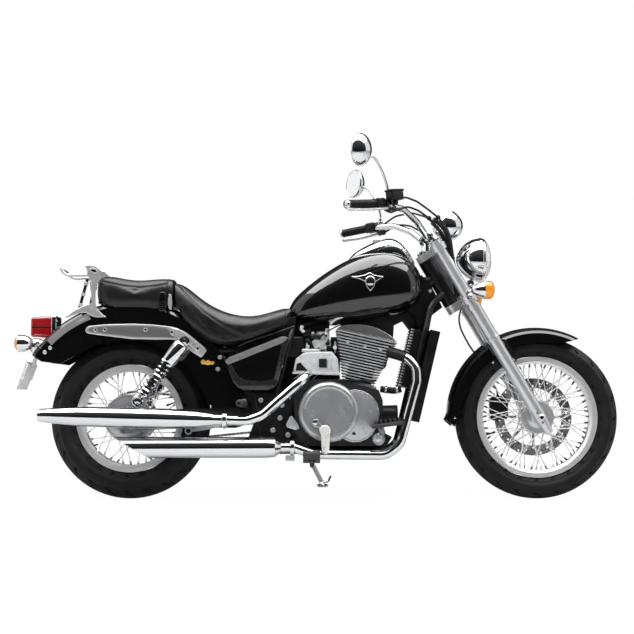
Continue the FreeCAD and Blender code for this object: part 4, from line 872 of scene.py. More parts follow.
for side, word in ((-1, "Right"), (1, "Left")):
    at = (1417, side * 190, 828)
    body = turnedPart(
        "frontSignal" + word,
        [
            (-58, 0), (-57, 7), (-50, 15), (-40, 22), (-28, 28.5), (-14, 34), (-10, 36.4), (-8, 37.4),
            (-5, 37), (-6, 0)],
        at, (1, 0, 0), steps=48)
    root = legPoint(804, side * 134)
    stalk = tubePart(
        "signalStalk",
        [tuple(root), (1352, side * 150, 822), (1378, side * 178, 828), (1384, side * 186, 828)], 7, 8, 16)
    collar = rodPart(
        "signalCollar", root + Vector((0, side * -2, 0)), root + Vector((6, side * 10, 3)), 12, 20, 2)
    finish(joinAll("frontSignal" + word, [body, stalk, collar]), chrome, "fork", "trim_chrome", smooth=40)
    glass = turnedPart(
        "frontSignalLens" + word,
        [(-7, 0), (-7, 36.4), (0, 37), (14, 36.6), (22, 34), (28, 28), (31, 22), (33.5, 10), (34, 0)], at,
        (1, 0, 0), steps=48)
    finish(glass, amberLens, "fork", "lamp_plastic", smooth=40)
print("front lights ready")


# instruments and handlebar controls

speedo = {"at": (1290, 0, 1108), "facing": (-0.66, 0, 0.75)}
facing = Vector(speedo["facing"]).normalized()
shell = turnedPart(
    "speedometerShell",
    [
        (24, 49), (29, 50), (32, 52.5), (33, 55), (31, 56.5), (26, 57), (24, 58.2), (10, 60), (-4, 60.4),
        (-18, 58), (-30, 53), (-42, 44), (-51, 32), (-57, 18), (-60, 0)],
    speedo["at"], facing, (0, 1, 0), steps=72)
foot = tubePart("speedometerFoot", [(1276, 0, 1068), (1258, 0, 1034), (1243, 0, 1028)], 10, 8, 16)
finish(joinAll("speedometerShell", [shell, foot]), chrome, "fork", "trim_chrome", "speedometer", smooth=40)
face = turnedPart(
    "speedometerFace", [(25, 0), (25, 50), (23, 50.4), (22, 0)], speedo["at"], facing, (0, 1, 0), steps=64)
finish(face, dialPaper, "fork", "trim_chrome")


def dialWay(degrees):
    # from the dial's middle outwards, clockwise from its top
    a = math.radians(degrees)
    return facing.cross(Vector((0, 1, 0))) * -math.cos(a) + Vector((0, 1, 0)) * math.sin(a)


marks = []
base = Vector(speedo["at"]) + facing * 25.2
for step in range(33):  # plain scale lines round the dial
    way = dialWay(-130 + 260 * step / 32)
    inner, thick = (38, 0.9) if step % 4 == 0 else (43, 0.5)
    marks.append(rodPart("dialMark", base + way * inner, base + way * 47, thick, 6))
way = dialWay(-118)
base = Vector(speedo["at"]) + facing * 26.6
marks += [
    rodPart("dialNeedle", base - way * 8, base + way * 40, 1.6, 8, 0, 0.5),
    rodPart("dialHub", base - facing * 1.5, base + facing * 1.5, 5, 20, 0.8),
]
finishAll("dialMarks", marks, satinBlack, "fork", "frame_paint")
glass = turnedPart(
    "speedometerGlass", [(29, 0), (29, 48), (31, 51), (32.5, 48), (34, 30), (34.5, 0)], speedo["at"], facing,
    (0, 1, 0), steps=64)
finish(glass, clearGlass, "fork", "lamp_plastic", smooth=40)

barPath = [
    (1200, 0, 1048), (1200, 66, 1048), (1150, 150, 1104), (1088, 240, 1142), (992, 330, 1148),
    (876, 402, 1134)]
bendAt, barEnd = Vector(barPath[4]), Vector(barPath[5])
gripWay = (barEnd - bendAt).normalized()


def gripPiece(name, side):
    start, end = bendAt + gripWay * 23, barEnd + gripWay * 7
    length = (end - start).length
    rows = [(0, 12.9), (0, 19.5), (3, 20.5), (6, 19.5), (8, 16.6)]
    ribs = 17
    for step in range(ribs):
        along = 10 + (length - 22) * step / ribs
        rows += [(along, 16.2), (along + 1.2, 17.4), (along + 4.2, 17.4), (along + 5.2, 16.2)]
    rows += [(length - 9, 16.8), (length - 4, 17.8), (length, 17.6), (length, 12.9)]
    sleeve = turnedPart(name, rows, start, gripWay, steps=32, closed=True)
    if side < 0:
        sleeve = mirrorInPlace(sleeve)
    return sleeve


finish(
    joinAll("handlebarGrips", [gripPiece("gripLeft", 1), gripPiece("gripRight", -1)]), gripRubber, "fork",
    "rest_rubber", "grips")


def barEndCap(name):
    return turnedPart(
        name, [(4, 0), (4, 12.6), (8, 16.5), (14, 16.8), (19, 15), (21, 11), (22, 0)], barEnd, gripWay,
        steps=32)


caps = [barEndCap("barEndCaps"), mirrorInPlace(barEndCap("barEndCaps"))]
finishAll("barEndCaps", caps, chrome, "fork", "trim_chrome")

control = {"collarAt": -34, "level": 0.87, "droop": 0.5}  # along the bar, and how far the levers hang
ahead = gripWay.cross(Vector((0, 0, 1))).normalized()
if ahead.x < 0:
    ahead = -ahead
over = gripWay.cross(ahead).normalized()
if over.z < 0:
    over = -over


def alongGrip(along, forward=0.0, up=0.0):
    return bendAt + gripWay * along + ahead * forward + over * up


def gripTurn():
    return Matrix((gripWay, ahead, over)).transposed().to_4x4()


def lowered(along, forward, up=0.0):
    # the levers hang a little below the grip
    level, droop = control["level"], control["droop"]
    return alongGrip(along, forward * level + up * droop, up * level - forward * droop)


leverAhead = ahead * control["level"] - over * control["droop"]
leverOver = over * control["level"] + ahead * control["droop"]


def loweredTurn():
    return Matrix((gripWay, leverAhead, leverOver)).transposed().to_4x4()


def leverSet(right):
    dark, bright = [], []
    dark += [
        boxPart("switchPod", alongGrip(2), (42, 40, 42), 7, gripTurn(), 4),
        boxPart("switchPod", alongGrip(-8, -4, 2), (26, 46, 34), 6, gripTurn(), 3),
    ]
    for step, up in ((-6, 14), (8, 12), (0, -8)):
        dark.append(boxPart("switchButton", alongGrip(step, -21, up), (9, 8, 7), 1.6, gripTurn()))
    dark.append(rodPart("switchScrew", alongGrip(6, 8, -20), alongGrip(6, 8, -23), 3, 10, 0.6))
    collarAt = control["collarAt"]
    dark += [
        rodPart("leverClamp", alongGrip(collarAt - 11), alongGrip(collarAt + 11), 19.5, 24, 2),
        boxPart("leverPerch", lowered(collarAt, 28), (24, 46, 20), 4, loweredTurn(), 3),
        boxPart("leverPerch", lowered(collarAt + 10, 46), (34, 18, 16), 4, loweredTurn(), 3),
    ]
    bright.append(hexBolt("leverPivot", lowered(collarAt + 12, 46, 8), leverOver, 10, 6))
    blade = platePart(
        "leverBlade",
        [
            (0, -7), (22, -8), (52, -3), (90, 1), (132, 1), (170, -3), (190, -8), (198, -6), (203, 1),
            (200, 9), (190, 11), (168, 11), (132, 14), (88, 14), (50, 11), (20, 8), (2, 8)],
        -3.5, 3.5, 2.2, 3)
    blade.data.transform(Matrix.Rotation(math.radians(90), 4, "X"))
    mirrorInPlace(blade)
    place = loweredTurn()
    place.translation = lowered(collarAt + 8, 44) * mm
    blade.data.transform(place)
    bright += [
        blade,
        hexBolt("clampBolt", alongGrip(collarAt, 18, 12), over, 8, 5),
    ]
    if right:
        tankAt = alongGrip(collarAt - 20, 30, 26)
        dark += [
            boxPart("fluidTank", tankAt, (58, 44, 36), 6, gripTurn(), 4),
            boxPart("fluidCap", tankAt + over * 20, (62, 48, 8), 3, gripTurn(), 3),
        ]
        for sx in (-24, 24):
            bright.append(
                rodPart(
                    "capScrew", tankAt + gripWay * sx + over * 23, tankAt + gripWay * sx + over * 25.5, 3, 12,
                    0.6))
        bright.append(
            rodPart(
                "fluidWindow", tankAt - ahead * 20 + gripWay * 4, tankAt - ahead * 24 + gripWay * 4, 9, 24,
                1.5))
        dark.append(
            rodPart("hoseBanjo", alongGrip(collarAt - 26, 34, 0), alongGrip(collarAt - 12, 34, 0), 9, 12, 1.5)
        )
    else:
        dark += [
            rodPart(
                "cableAdjuster", alongGrip(collarAt - 30, 42, 0), alongGrip(collarAt - 8, 42, 0), 7, 12, 1),
            rodPart(
                "cableAdjuster", alongGrip(collarAt - 24, 42, 0), alongGrip(collarAt - 18, 42, 0), 9, 16, 1),
        ]
    dark += [
        tubePart("cableRoot", [(1042, 297, 1120), (1022, 306, 1124), (1004, 318, 1136)], 4.6, 6, 12),
        tubePart("cableRoot", [(1048, 299, 1160), (1030, 306, 1156), (1012, 316, 1150)], 4.6, 6, 12),
    ]
    dark = joinAll("switchgear", dark)
    bright = joinAll("levers", bright)
    if right:
        mirrorInPlace(dark)
        mirrorInPlace(bright)
    return dark, bright


leftDark, leftBright = leverSet(False)
rightDark, rightBright = leverSet(True)
finish(joinAll("switchgear", [leftDark, rightDark]), mouldedBlack, "fork", "frame_paint", "hand_controls")
finish(joinAll("handLevers", [leftBright, rightBright]), polishedAlloy, "fork", "polished_alloy")

mirror = {"head": (913, 372, 1350), "facing": (-0.80, -0.58, 0.10), "tall": 1.17}


def mirrorHead(name, profile, left):
    head = Vector(mirror["head"])
    look = Vector(mirror["facing"]).normalized()
    side = look.cross(Vector((0, 1, 0))).normalized()
    part = turnedPart(name, profile, head, look, side, steps=56)
    part.data.transform(Matrix.Translation(head * -mm))
    part.data.transform(Matrix.Diagonal((1, 1, mirror["tall"], 1)))
    part.data.transform(Matrix.Translation(head * mm))
    return part if left else mirrorInPlace(part)


backs, glasses = [], []
for left in (True, False):
    backs.append(
        mirrorHead(
            "mirrorShells",
            [
                (-2, 48), (1, 50), (1.5, 53), (-2, 54.5), (-8, 54), (-16, 51), (-25, 46), (-34, 37),
                (-42, 26), (-48, 13), (-50, 0)],
            left))
    stalk = tubePart(
        "mirrorStalk",
        [
            (1028, 298, 1158), (1028, 300, 1200), (1012, 312, 1256), (992, 327, 1298), (972, 342, 1324),
            (950, 354, 1332), (930, 364, 1334)],
        5, 10, 16)
    ball = rodPart("mirrorBall", (938, 360, 1334), (926, 366, 1336), 9, 24, 3)
    nut = rodPart("mirrorNut", (1028, 298, 1170), (1028, 299, 1186), 9, 6, 1)
    rubber = rodPart("mirrorNut", (1028, 298, 1156), (1028, 298, 1171), 12, 24, 2)
    backs += [part if left else mirrorInPlace(part) for part in (stalk, ball, nut, rubber)]
    glasses.append(mirrorHead("mirrorGlass", [(-1.5, 0), (-1.5, 49.5), (0, 49.5), (0.6, 0)], left))
finishAll("mirrorShells", backs, chrome, "fork", "trim_chrome", "mirrors", smooth=40)
finishAll("mirrorGlasses", glasses, mirrorSilver, "fork", "trim_chrome")

clipPlaces = [((1240, -98, 1130), (0.6, 0.55, -0.5)), ((1200, -140, 1120), (0.6, 0.6, -0.2)),
              ((1300, -46, 985), (0.25, 0.1, -1)), ((1298, 55, 985), (0.2, -0.1, -1))]
clips = []
for at, way in clipPlaces:
    reach = Vector(way).normalized() * 5
    clips.append(rodPart("cableClip", Vector(at) - reach, Vector(at) + reach, 9, 12, 1))
finishAll("cableClips", clips, gripRubber, "fork", "cable_rubber")

riserCaps = []
for side in (-1, 1):
    riserCaps.append(boxPart("riserCap", (barPath[0][0], side * 48, barPath[0][2] + 14), (46, 30, 12), 4))
    for dx in (-16, 16):
        riserCaps.append(
            capBolt("riserBolt", (barPath[0][0] + dx, side * 48, barPath[0][2] + 19), (0, 0, 1), 10, 6))
stemNut = legPoint(1006) - steerAhead * 60 - steerDown * 14
riserCaps += [
    rodPart("stemNut", stemNut, stemNut - steerDown * 12, 17, 6, 2),
    rodPart("stemNut", stemNut - steerDown * 10, stemNut - steerDown * 16, 11, 24, 2),
]
finishAll("riserCaps", riserCaps, chrome, "fork", "trim_chrome")
print("controls ready")

sheath = [
    tubePart(
        "cableSheath",
        [(1222, -104, 1122), (1262, -76, 1092), (1288, -62, 1040), (1300, -58, 970), (1316, -56, 880)], 9, 8,
        16)]
sheath.append(
    tubePart(
        "cableSheath",
        [(1214, -92, 1108), (1250, -66, 1076), (1272, -52, 1026), (1284, -50, 960), (1300, -48, 880)], 6, 8,
        12))
for along in ((1262, -76, 1092), (1300, -58, 970)):
    sheath.append(
        rodPart(
            "sheathTie", Vector(along) + Vector((-2, 0, 5)), Vector(along) + Vector((2, 0, -5)), 11, 20, 1))
finishAll("cableSheath", sheath, mouldedBlack, "fork", "cable_rubber", smooth=45)

# seats, tank and covers


padding = {"slack": 3, "cap": 6, "evenSkin": 6, "pressure": 4, "frames": 20}


def padFrom(name, nodeName):
    # the seat's foam: a slightly smaller skin that Cloth blows up, held within its cap
    pad = bpy.data.objects.new(name, frame["nodes"][nodeName].data.copy())
    scene.collection.objects.link(pad)
    pad.data.transform(leanMatrix.inverted())
    editOn(pad)
    bpy.ops.mesh.remove_doubles(threshold=0.05 * mm)
    bpy.ops.mesh.normals_make_consistent(inside=False)
    editOff()
    looser = pad.modifiers.new("slack", "DISPLACE")
    looser.strength = -padding["slack"] * mm
    looser.mid_level = 0
    skin = pad.modifiers.new("evenSkin", "REMESH")
    skin.mode = "VOXEL"
    skin.voxel_size = padding["evenSkin"] * mm
    applyAll(pad)
    rest = [vertex.co.copy() for vertex in pad.data.vertices]
    flat = [vertex.normal.z < -0.6 for vertex in pad.data.vertices]
    air = pad.modifiers.new("air", "CLOTH")
    air.settings.quality = 4
    air.settings.mass = 0.3
    air.settings.use_pressure = True
    air.settings.uniform_pressure_force = padding["pressure"]
    air.settings.effector_weights.gravity = 0
    air.settings.tension_stiffness = 12
    air.settings.bending_stiffness = 2
    for step in range(padding["frames"]):
        scene.frame_set(step + 1)
    bpy.ops.object.modifier_apply(modifier="air")
    scene.frame_set(1)
    cap = padding["cap"] * mm
    for vertex, start, resting in zip(pad.data.vertices, rest, flat):
        shift = vertex.co - start
        if resting:  # the underside stays on its pan
            shift = Vector((0, 0, 0))
        elif shift.length > cap:
            shift *= cap / shift.length
        vertex.co = start + shift
    finer = pad.modifiers.new("finer", "SUBSURF")
    finer.levels = finer.render_levels = 1
    applyAll(pad)
    return pad


def onSkin(pad, x, z, side):
    # the point of the pad's skin that shows at this height, seen square from one side
    start = Vector((x, side * 400, z)) * mm
    hit, place = pad.ray_cast(start, Vector((0, -side, 0)))[:2]
    return place / mm if hit else None


def sideSeam(pad, points, side, steps=14):
    path = []
    for (x0, z0), (x1, z1) in zip(points, points[1:]):
        for step in range(steps):
            t = step / steps
            place = onSkin(pad, x0 + (x1 - x0) * t, z0 + (z1 - z0) * t, side)
            if place is not None:
                path.append(place)
    return path


def crossSeam(pad, x, low, reach, steps=48):
    # a seam round the pad from one side over the top to the other
    centre = Vector((x, 0, low)) * mm
    path = []
    for step in range(steps + 1):
        a = math.pi * step / steps
        way = Vector((0, math.cos(a), math.sin(a)))
        hit, place = pad.ray_cast(centre + way * reach * mm, -way)[:2]
        if hit:
            path.append(place / mm)
    return path


def sewChannel(pad, path, depth, width):
    tree = kdtree.KDTree(len(path))
    for index, place in enumerate(path):
        tree.insert(place * mm, index)
    tree.balance()
    moved = []
    for vertex in pad.data.vertices:
        near, index, far = tree.find(vertex.co)
        if far < 3 * width * mm:
            moved.append(
                (vertex.index, vertex.co - vertex.normal * depth * mm * math.exp(-(far / (width * mm)) ** 2)))
    for index, place in moved:
        pad.data.vertices[index].co = place


def threadOn(name, path, radius, lift=0.0):
    points = [place + Vector((0, math.copysign(lift, place.y), 0)) for place in path[::2]]
    return tubePart(name, points, radius, 3, 8)


riderLine = [(196, 862), (246, 806), (300, 749), (384, 690), (470, 643), (540, 672)]
riderLineLow = [(x - 4, z - 6) for x, z in riderLine]
riderPad = padFrom("riderSeatPad", "rider_seat")
riderThreads = []
for side in (-1, 1):
    seam = sideSeam(riderPad, riderLine, side)
    lower = sideSeam(riderPad, riderLineLow, side)
    sewChannel(riderPad, seam, 2.6, 5)
    riderThreads += [threadOn("riderSeatThread", seam, 0.9), threadOn("riderSeatThread", lower, 0.9)]
noseSeam = crossSeam(riderPad, 628, 742, 200)
sewChannel(riderPad, noseSeam, 2.2, 4)
riderThreads.append(threadOn("riderSeatThread", noseSeam, 0.9))
finish(riderPad, blackLeather, "chassis", "seat_leather", "rider_seat", smooth=60)
finishAll("riderSeatThreads", riderThreads, threadGrey, "chassis", "seat_leather")

pillionLine = [(-112, 876), (-93, 870), (-25, 856), (43, 849), (115, 855), (157, 866)]
pillionPad = padFrom("pillionSeatPad", "pillion_seat")
pillionThreads = []
for side in (-1, 1):
    seam = sideSeam(pillionPad, pillionLine, side)
    sewChannel(pillionPad, seam, 2.4, 5)
    pillionThreads.append(threadOn("pillionSeatPiping", seam, 1.8, 0.6))
frontSeam = crossSeam(pillionPad, 152, 790, 200)
sewChannel(pillionPad, frontSeam, 2.4, 4)
pillionThreads.append(threadOn("pillionSeatPiping", frontSeam, 1.4))
finish(pillionPad, blackLeather, "chassis", "seat_leather", "pillion_seat", smooth=60)
finishAll("pillionSeatPiping", pillionThreads, gripRubber, "chassis", "seat_leather")
print("seats ready")

strap = {"x": 136, "top": 827, "low": 750, "half": 14, "side": 116}
strapEnds, strapPlates = [], []
for side in (-1, 1):
    y = side * strap["side"]
    x, half = strap["x"], strap["half"]
    arch = [ringPoint((x, strap["top"] - half), half, 18 * step, 0) for step in range(11)]
    outline = [(x + half, strap["low"])] + [(at[0], at[2]) for at in arch] + [(x - half, strap["low"])]
    strapEnds.append(platePart("seatStrapEnd", outline, y - side * 10, y + side * 7, 2.5, 3))
    for drop in range(4):
        z = strap["low"] + 10 + drop * 9
        strapEnds.append(boxPart("strapRib", (strap["x"], y + side * 7, z), (30, 5, 4.5), 1.4))
    shield = [(160, 762), (172, 754), (174, 778), (173, 804), (169, 819), (162, 818), (158, 800), (158, 780)]
    strapPlates.append(platePart("strapPlate", shield, y - side * 12, y + side * 4, 2.5, 3))
finishAll("seatStrapEnds", strapEnds, glossBlack, "chassis", "frame_paint")
finishAll("seatStrapPlates", strapPlates, brushedChrome, "chassis", "trim_chrome")

# the tank's badge is a plain winged shield without a sign
badgeOutline = [
    (884, 886), (918, 888), (944, 893), (962, 903), (978, 893), (996, 889), (1018, 886), (1000, 874),
    (986, 866), (980, 846), (964, 826), (950, 846), (943, 866), (920, 876)]
badges = []
for side in (-1, 1):
    badges.append(platePart("tankBadge", badgeOutline, side * 132, side * 148, 2.6, 3))
    boss = turnedPart(
        "tankBadgeBoss", [(0, 0), (0, 19), (3, 20), (7, 17), (9, 10), (9.6, 0)], (964, side * 146, 868),
        (0, side, 0), steps=40)
    badges.append(boss)
finishAll("tankBadges", badges, chrome, "chassis", "trim_chrome")
tankCap = turnedPart(
    "tankFillerCap", [(-8, 0), (-8, 30), (1.5, 30), (3, 28.5), (3, 25), (2, 24), (2, 0)], (1012, 0, 1046),
    (0.02, 0, 1), (1, 0, 0), steps=56)
finish(tankCap, polishedAlloy, "chassis", "trim_chrome")

tankStrap = [boxPart("tankRearMount", (636, 0, 724), (40, 70, 30), 6)]
for side in (-1, 1):
    tankStrap.append(capBolt("tankMountBolt", (636, side * 35, 724), (0, side, 0), 14, 8))
finishAll("tankRearMount", tankStrap, satinBlack, "chassis", "frame_paint")

coverOutline = [
    (388, 548), (392, 530), (424, 464), (440, 444), (462, 434), (560, 434), (586, 446), (602, 466),
    (640, 622), (640, 640), (626, 648), (608, 646), (404, 566)]
# the side covers' top band is a painted highlight in pale grey
topHighlightBand = [
    (389, 548), (398, 536), (412, 540), (606, 618), (616, 622), (634, 636), (626, 646), (608, 645), (404, 565)
]
# the front and lower bands are painted dim reflections in dark grey
frontReflectionBand = [(604, 617), (612, 608), (582, 480), (600, 470), (638, 622), (632, 637), (616, 622)]
lowReflectionBand = [
    (398, 534), (420, 470), (440, 446), (462, 436), (560, 436), (584, 447), (600, 468), (583, 484),
    (572, 476), (540, 470), (470, 474), (444, 486), (412, 540)]
covers, highlightBands, reflectionBands = [], [], []
for side in (-1, 1):
    covers.append(platePart("sideCover", coverOutline, side * 126, side * 146, 5, 3))
    highlightBands.append(platePart("sideCoverBand", topHighlightBand, side * 144, side * 147.6, 1.2))
    reflectionBands += [
        platePart("sideCoverEdge", frontReflectionBand, side * 144, side * 147.4, 1.2),
        platePart("sideCoverEdge", lowReflectionBand, side * 144, side * 147.2, 1.2),
    ]
finishAll("sideCovers", covers, glossBlack, "chassis", "body_paint", "side_covers", smooth=20)
finishAll("sideCoverBands", highlightBands, bandGrey, "chassis", "body_paint", smooth=40)
finishAll("sideCoverEdges", reflectionBands, bandDark, "chassis", "body_paint", smooth=40)
# black plates under the seat fill the gaps with painted shade; the seat rails with them are real tubes
shadeFillsAndRails = []
for side in (-1, 1):
    shadeFillsAndRails += [
        platePart(
            "seatShield",
            [
                (396, 560), (440, 570), (600, 632), (664, 678), (668, 732), (600, 718), (520, 676),
                (450, 650), (400, 610)],
            side * 70, side * 74, 1),
        tubePart(
            "seatRail",
            [(440, side * 128, 608), (478, side * 128, 626), (570, side * 122, 656), (664, side * 110, 690)],
            3.4, 8, 12),
    ]
# a black plate on the right behind the side cover, painted shade filling a gap
shadeFillsAndRails.append(
    platePart("chainGuardPlate", [(330, 424), (520, 424), (560, 352), (540, 316), (330, 330)], -88, -93, 1))
finishAll("seatShields", shadeFillsAndRails, satinBlack, "chassis", "frame_paint", smooth=45)
print("seats, tank trim and covers ready")

# tail: shocks, rails, rack, lamps and plate


def coilPart(name, start, end, coilRadius, wireRadius, turns, sides=8):
    start, end = Vector(start), Vector(end)
    way = (end - start).normalized()
    out = way.cross(Vector((0, 1, 0))).normalized()
    up = way.cross(out)
    steps = int(turns * 14)
    points = []
    for step in range(steps + 1):
        a = 2 * math.pi * turns * step / steps
        points.append(
            start + (end - start) * step / steps + (out * math.cos(a) + up * math.sin(a)) * coilRadius)
    return tubePart(name, points, wireRadius, 1, sides)


shock = {"top": (228, 141, 628), "low": (44, 141, 392)}
bright, dark = [], []
for side in (-1, 1):
    top, low = [Vector((x, side * y, z)) for x, y, z in (shock["top"], shock["low"])]
    way = (low - top).normalized()
    flat = Vector((0, 1, 0))
    reach = (low - top).length
    bright += [
        turnedPart(
            "shockCover",
            [
                (12, 0), (12, 27), (15, 31), (22, 33), (100, 33), (104, 31.5), (108, 33.5), (112, 33.5),
                (112, 29), (108, 28), (108, 0)],
            top, way, flat, steps=48),
        coilPart("shockSpring", top + way * 112, top + way * (reach - 34), 23.5, 4.4, 8.5),
        turnedPart(
            "shockCollar", [(0, 0), (0, 27), (3, 29), (9, 29), (12, 26), (12, 0)], top + way * (reach - 40),
            way, flat, steps=40),
    ]
    dark.append(rodPart("shockBody", top + way * 100, top + way * (reach - 30), 15, 24))
    bright += [
        rodPart("shockRod", top + way * (reach - 32), low, 11, 20),
        turnedPart(
            "shockEye", [(-12, 11), (-14, 14), (-14, 19), (-11, 22), (11, 22), (14, 19), (14, 14), (12, 11)],
            low, flat, way, steps=36, closed=True),
        rodPart("shockTopEye", top - flat * 14, top + flat * 14, 20, 32, 3),
    ]
    dark.append(rodPart("shockBush", low - flat * 15, low + flat * 15, 11, 24, 1))
    bright += [
        hexBolt("shockBolt", low + flat * side * 15, flat * side, 17, 9),
        hexBolt("shockBolt", top + flat * side * 14, flat * side, 17, 8),
    ]
finishAll("shockChrome", bright, chrome, "chassis", "trim_chrome", "rear_shocks", smooth=40)
finishAll("shockBodies", dark, satinBlack, "chassis", "frame_paint")

railBoltsAt = [(-132, 676), (-95, 677), (68, 676), (173, 666), (227, 639), (277, 601)]
railOutline = [
    (-172, 668), (-174, 676), (-168, 686), (-156, 692), (-100, 698), (14, 701), (90, 698), (158, 691),
    (196, 682), (228, 667), (264, 640), (300, 610), (314, 594), (291, 564), (255, 586), (206, 624),
    (182, 637), (100, 637), (15, 639), (-81, 650), (-150, 659), (-165, 662)]
railPanel = [
    (-160, 672), (-160, 679), (-150, 684), (-100, 689), (14, 692), (90, 689), (150, 683), (170, 664),
    (188, 646), (100, 646), (15, 648), (-81, 659), (-148, 667)]
bracket = [(172, 682), (204, 678), (262, 634), (300, 606), (276, 584), (232, 622), (196, 642), (168, 656)]
railBolts, railRims, railPanels, eyes = [], [], [], []
for side in (-1, 1):
    railRims += [
        platePart("railRim", railOutline, side * 97.3, side * 106.3, 4.2, 4),
        platePart("shockBracket", bracket, side * 104, side * 109.5, 2.4, 3),
    ]
    railPanels.append(platePart("railPanel", railPanel, side * 104, side * 107, 0.8))
    for index, (x, z) in enumerate(railBoltsAt):
        face = side * (107 if index < 3 else 109.5)
        railBolts.append(
            turnedPart(
                "railWasher", [(0, 0), (0, 9.5), (2.5, 9), (3, 6), (1.5, 4.5), (1.5, 0)], (x, face, z),
                (0, side, 0), steps=28))
        eyes.append(rodPart("boltEye", (x, face, z), (x, face + side * 2.2, z), 4.6, 6))
finishAll("boltEyes", eyes, satinBlack, "chassis", "frame_paint")
finishAll("railRims", railRims, railBright, "chassis", "rail_metal", "mudguard_rails", smooth=50)
finishAll("railPanels", railPanels, railGrey, "chassis", "rail_metal")
finishAll("railBolts", railBolts, brushedChrome, "chassis", "trim_chrome")


def ringSector(inner, outer, start, end, steps=16):
    # an arc band round the rear axle, in the side view
    turns = [start + (end - start) * step / steps for step in range(steps + 1)]
    band = [ringPoint(rearAxle, outer, turn, 0) for turn in turns] + [
        ringPoint(rearAxle, inner, turn, 0)
        for turn in reversed(turns)
    ]
    return [(x, z) for x, y, z in band]


straps, strapDetails = [], []
for side in (-1, 1):
    straps.append(platePart("mudguardStrap", ringSector(424, 451, 111, 136.5), side * 96, side * 101, 2.2, 3))
    strapDetails.append(
        platePart("strapSlot", ringSector(433, 442, 113, 118, 5), side * 100, side * 102.2, 0.8))
    for degrees, radius in ((138.2, 421), (141.8, 426)):
        at = ringPoint(rearAxle, radius, degrees, side * 97)
        strapDetails.append(
            turnedPart(
                "mudguardScrew", [(0, 0), (0, 8), (3, 7.5), (5, 4), (5.6, 0)], at, (0, side, 0), steps=28))
finishAll("mudguardStraps", straps, strapGrey, "chassis", "rail_metal", smooth=50)
finishAll("mudguardScrews", strapDetails, brushedChrome, "chassis", "trim_chrome")

rackOutline = [
    (-88, 727), (-104, 738), (-118, 752), (-130, 766), (-134, 782), (-134, 824), (-129, 860), (-114, 886),
    (-112, 908), (-118, 921), (-131, 931), (-146, 936), (-160, 938), (-180, 932), (-171, 922), (-161, 878),
    (-152, 824), (-148, 788), (-158, 780), (-196, 766), (-225, 749), (-258, 724), (-235, 729), (-192, 744),
    (-170, 744), (-145, 730), (-130, 726)]
rackParts, rackDark = [], []
for side in (-1, 1):
    rackParts += [
        platePart("rackUpright", rackOutline, side * 98, side * 108, 3.4, 4),
        platePart(
            "rackRib", [(-158, 870), (-150, 824), (-146, 800), (-142, 800), (-145, 824), (-150, 872)],
            side * 106, side * 111, 1.6, 3),
        platePart(
            "rackPocket", [(-164, 918), (-150, 926), (-132, 922), (-124, 908), (-134, 900), (-150, 908)],
            side * 106, side * 109.5, 1.2, 2),
    ]
    handle = [(-166, 900), (-210, 900), (-254, 900), (-272, 910), (-280, 922)]
    rackParts.append(tubePart("rackHandle", [(x, side * 62, z) for x, z in handle], 6, 8, 16))
    stayTop, stayLow = Vector((-168, side * 99, 880)), Vector((-200, side * 97, 758))
    rackDark.append(rodPart("rackStay", stayTop, stayLow, 6, 16))
    for drop in (0.15, 0.5, 0.85):
        at = stayTop.lerp(stayLow, drop)
        rackParts.append(
            rodPart("rackStayRing", at + Vector((1.6, 0, 6)), at - Vector((1.6, 0, 6)), 8.5, 20, 1.5))
    for x, z in ((-120, 744), (-206, 752), (-148, 758)):
        rackParts.append(capBolt("rackBolt", (x, side * 107.5, z), (0, side, 0), 12, 5))
    # a black plate for the slot in the rack's pocket: painted shade
    rackDark.append(
        platePart(
            "rackSlot", [(-156, 914), (-146, 919), (-134, 917), (-130, 910), (-136, 906), (-150, 911)],
            side * 108, side * 110, 0.5, 1))
rackParts += [
    rodPart("rackHandleEnd", (-280, -62, 922), (-280, 62, 922), 6, 16, 1),
    rodPart("rackCross", (-162, -104, 900), (-162, 104, 900), 7, 16),
    platePart("rackTop", [(-172, 926), (-150, 934), (-142, 902), (-162, 894)], -100, 100, 3, 3),
]
finishAll("rearRack", rackParts, railBright, "chassis", "trim_chrome", "rear_rack", smooth=45)
finishAll("rackStays", rackDark, satinBlack, "chassis", "frame_paint")

lock = [
    rodPart("seatLock", (300, -112, 547), (300, -124, 547), 9, 24, 2),
    rodPart("seatLockBody", (318, -112, 545), (318, -120, 545), 10, 24, 2),
    boxPart("seatLockArm", (322, -118, 544), (44, 8, 13), 3)]
finishAll("seatLock", lock, brass, "chassis", "trim_chrome")

tail = {"length": 110, "narrowing": 0.16, "lowering": 0.07, "middle": 0.69}


def tailForm(name, x0, x1, low, high, half, corner):
    form = boxPart(
        name, ((x0 + x1) / 2, 0, (low + high) / 2), (x1 - x0, 2 * half, high - low), corner, None, 4)
    for vertex in form.data.vertices:  # the lamp narrows towards the rear
        share = (x1 - vertex.co.x / mm) / tail["length"]
        vertex.co.y *= 1 - tail["narrowing"] * share
        vertex.co.z -= tail["lowering"] * share * (vertex.co.z - tail["middle"])
    return form


lens = tailForm("tailLens", -406, -318, 648, 734, 52, 12)
finish(lens, redLens, "chassis", "lamp_plastic", "rear_lights", smooth=50)
finish(tailForm("tailLensBand", -400, -317, 686, 694, 52.6, 1.2), mouldedBlack, "chassis", "frame_paint")
finish(tailForm("tailLampBase", -322, -300, 664, 736, 55, 6), chrome, "chassis", "trim_chrome", smooth=50)

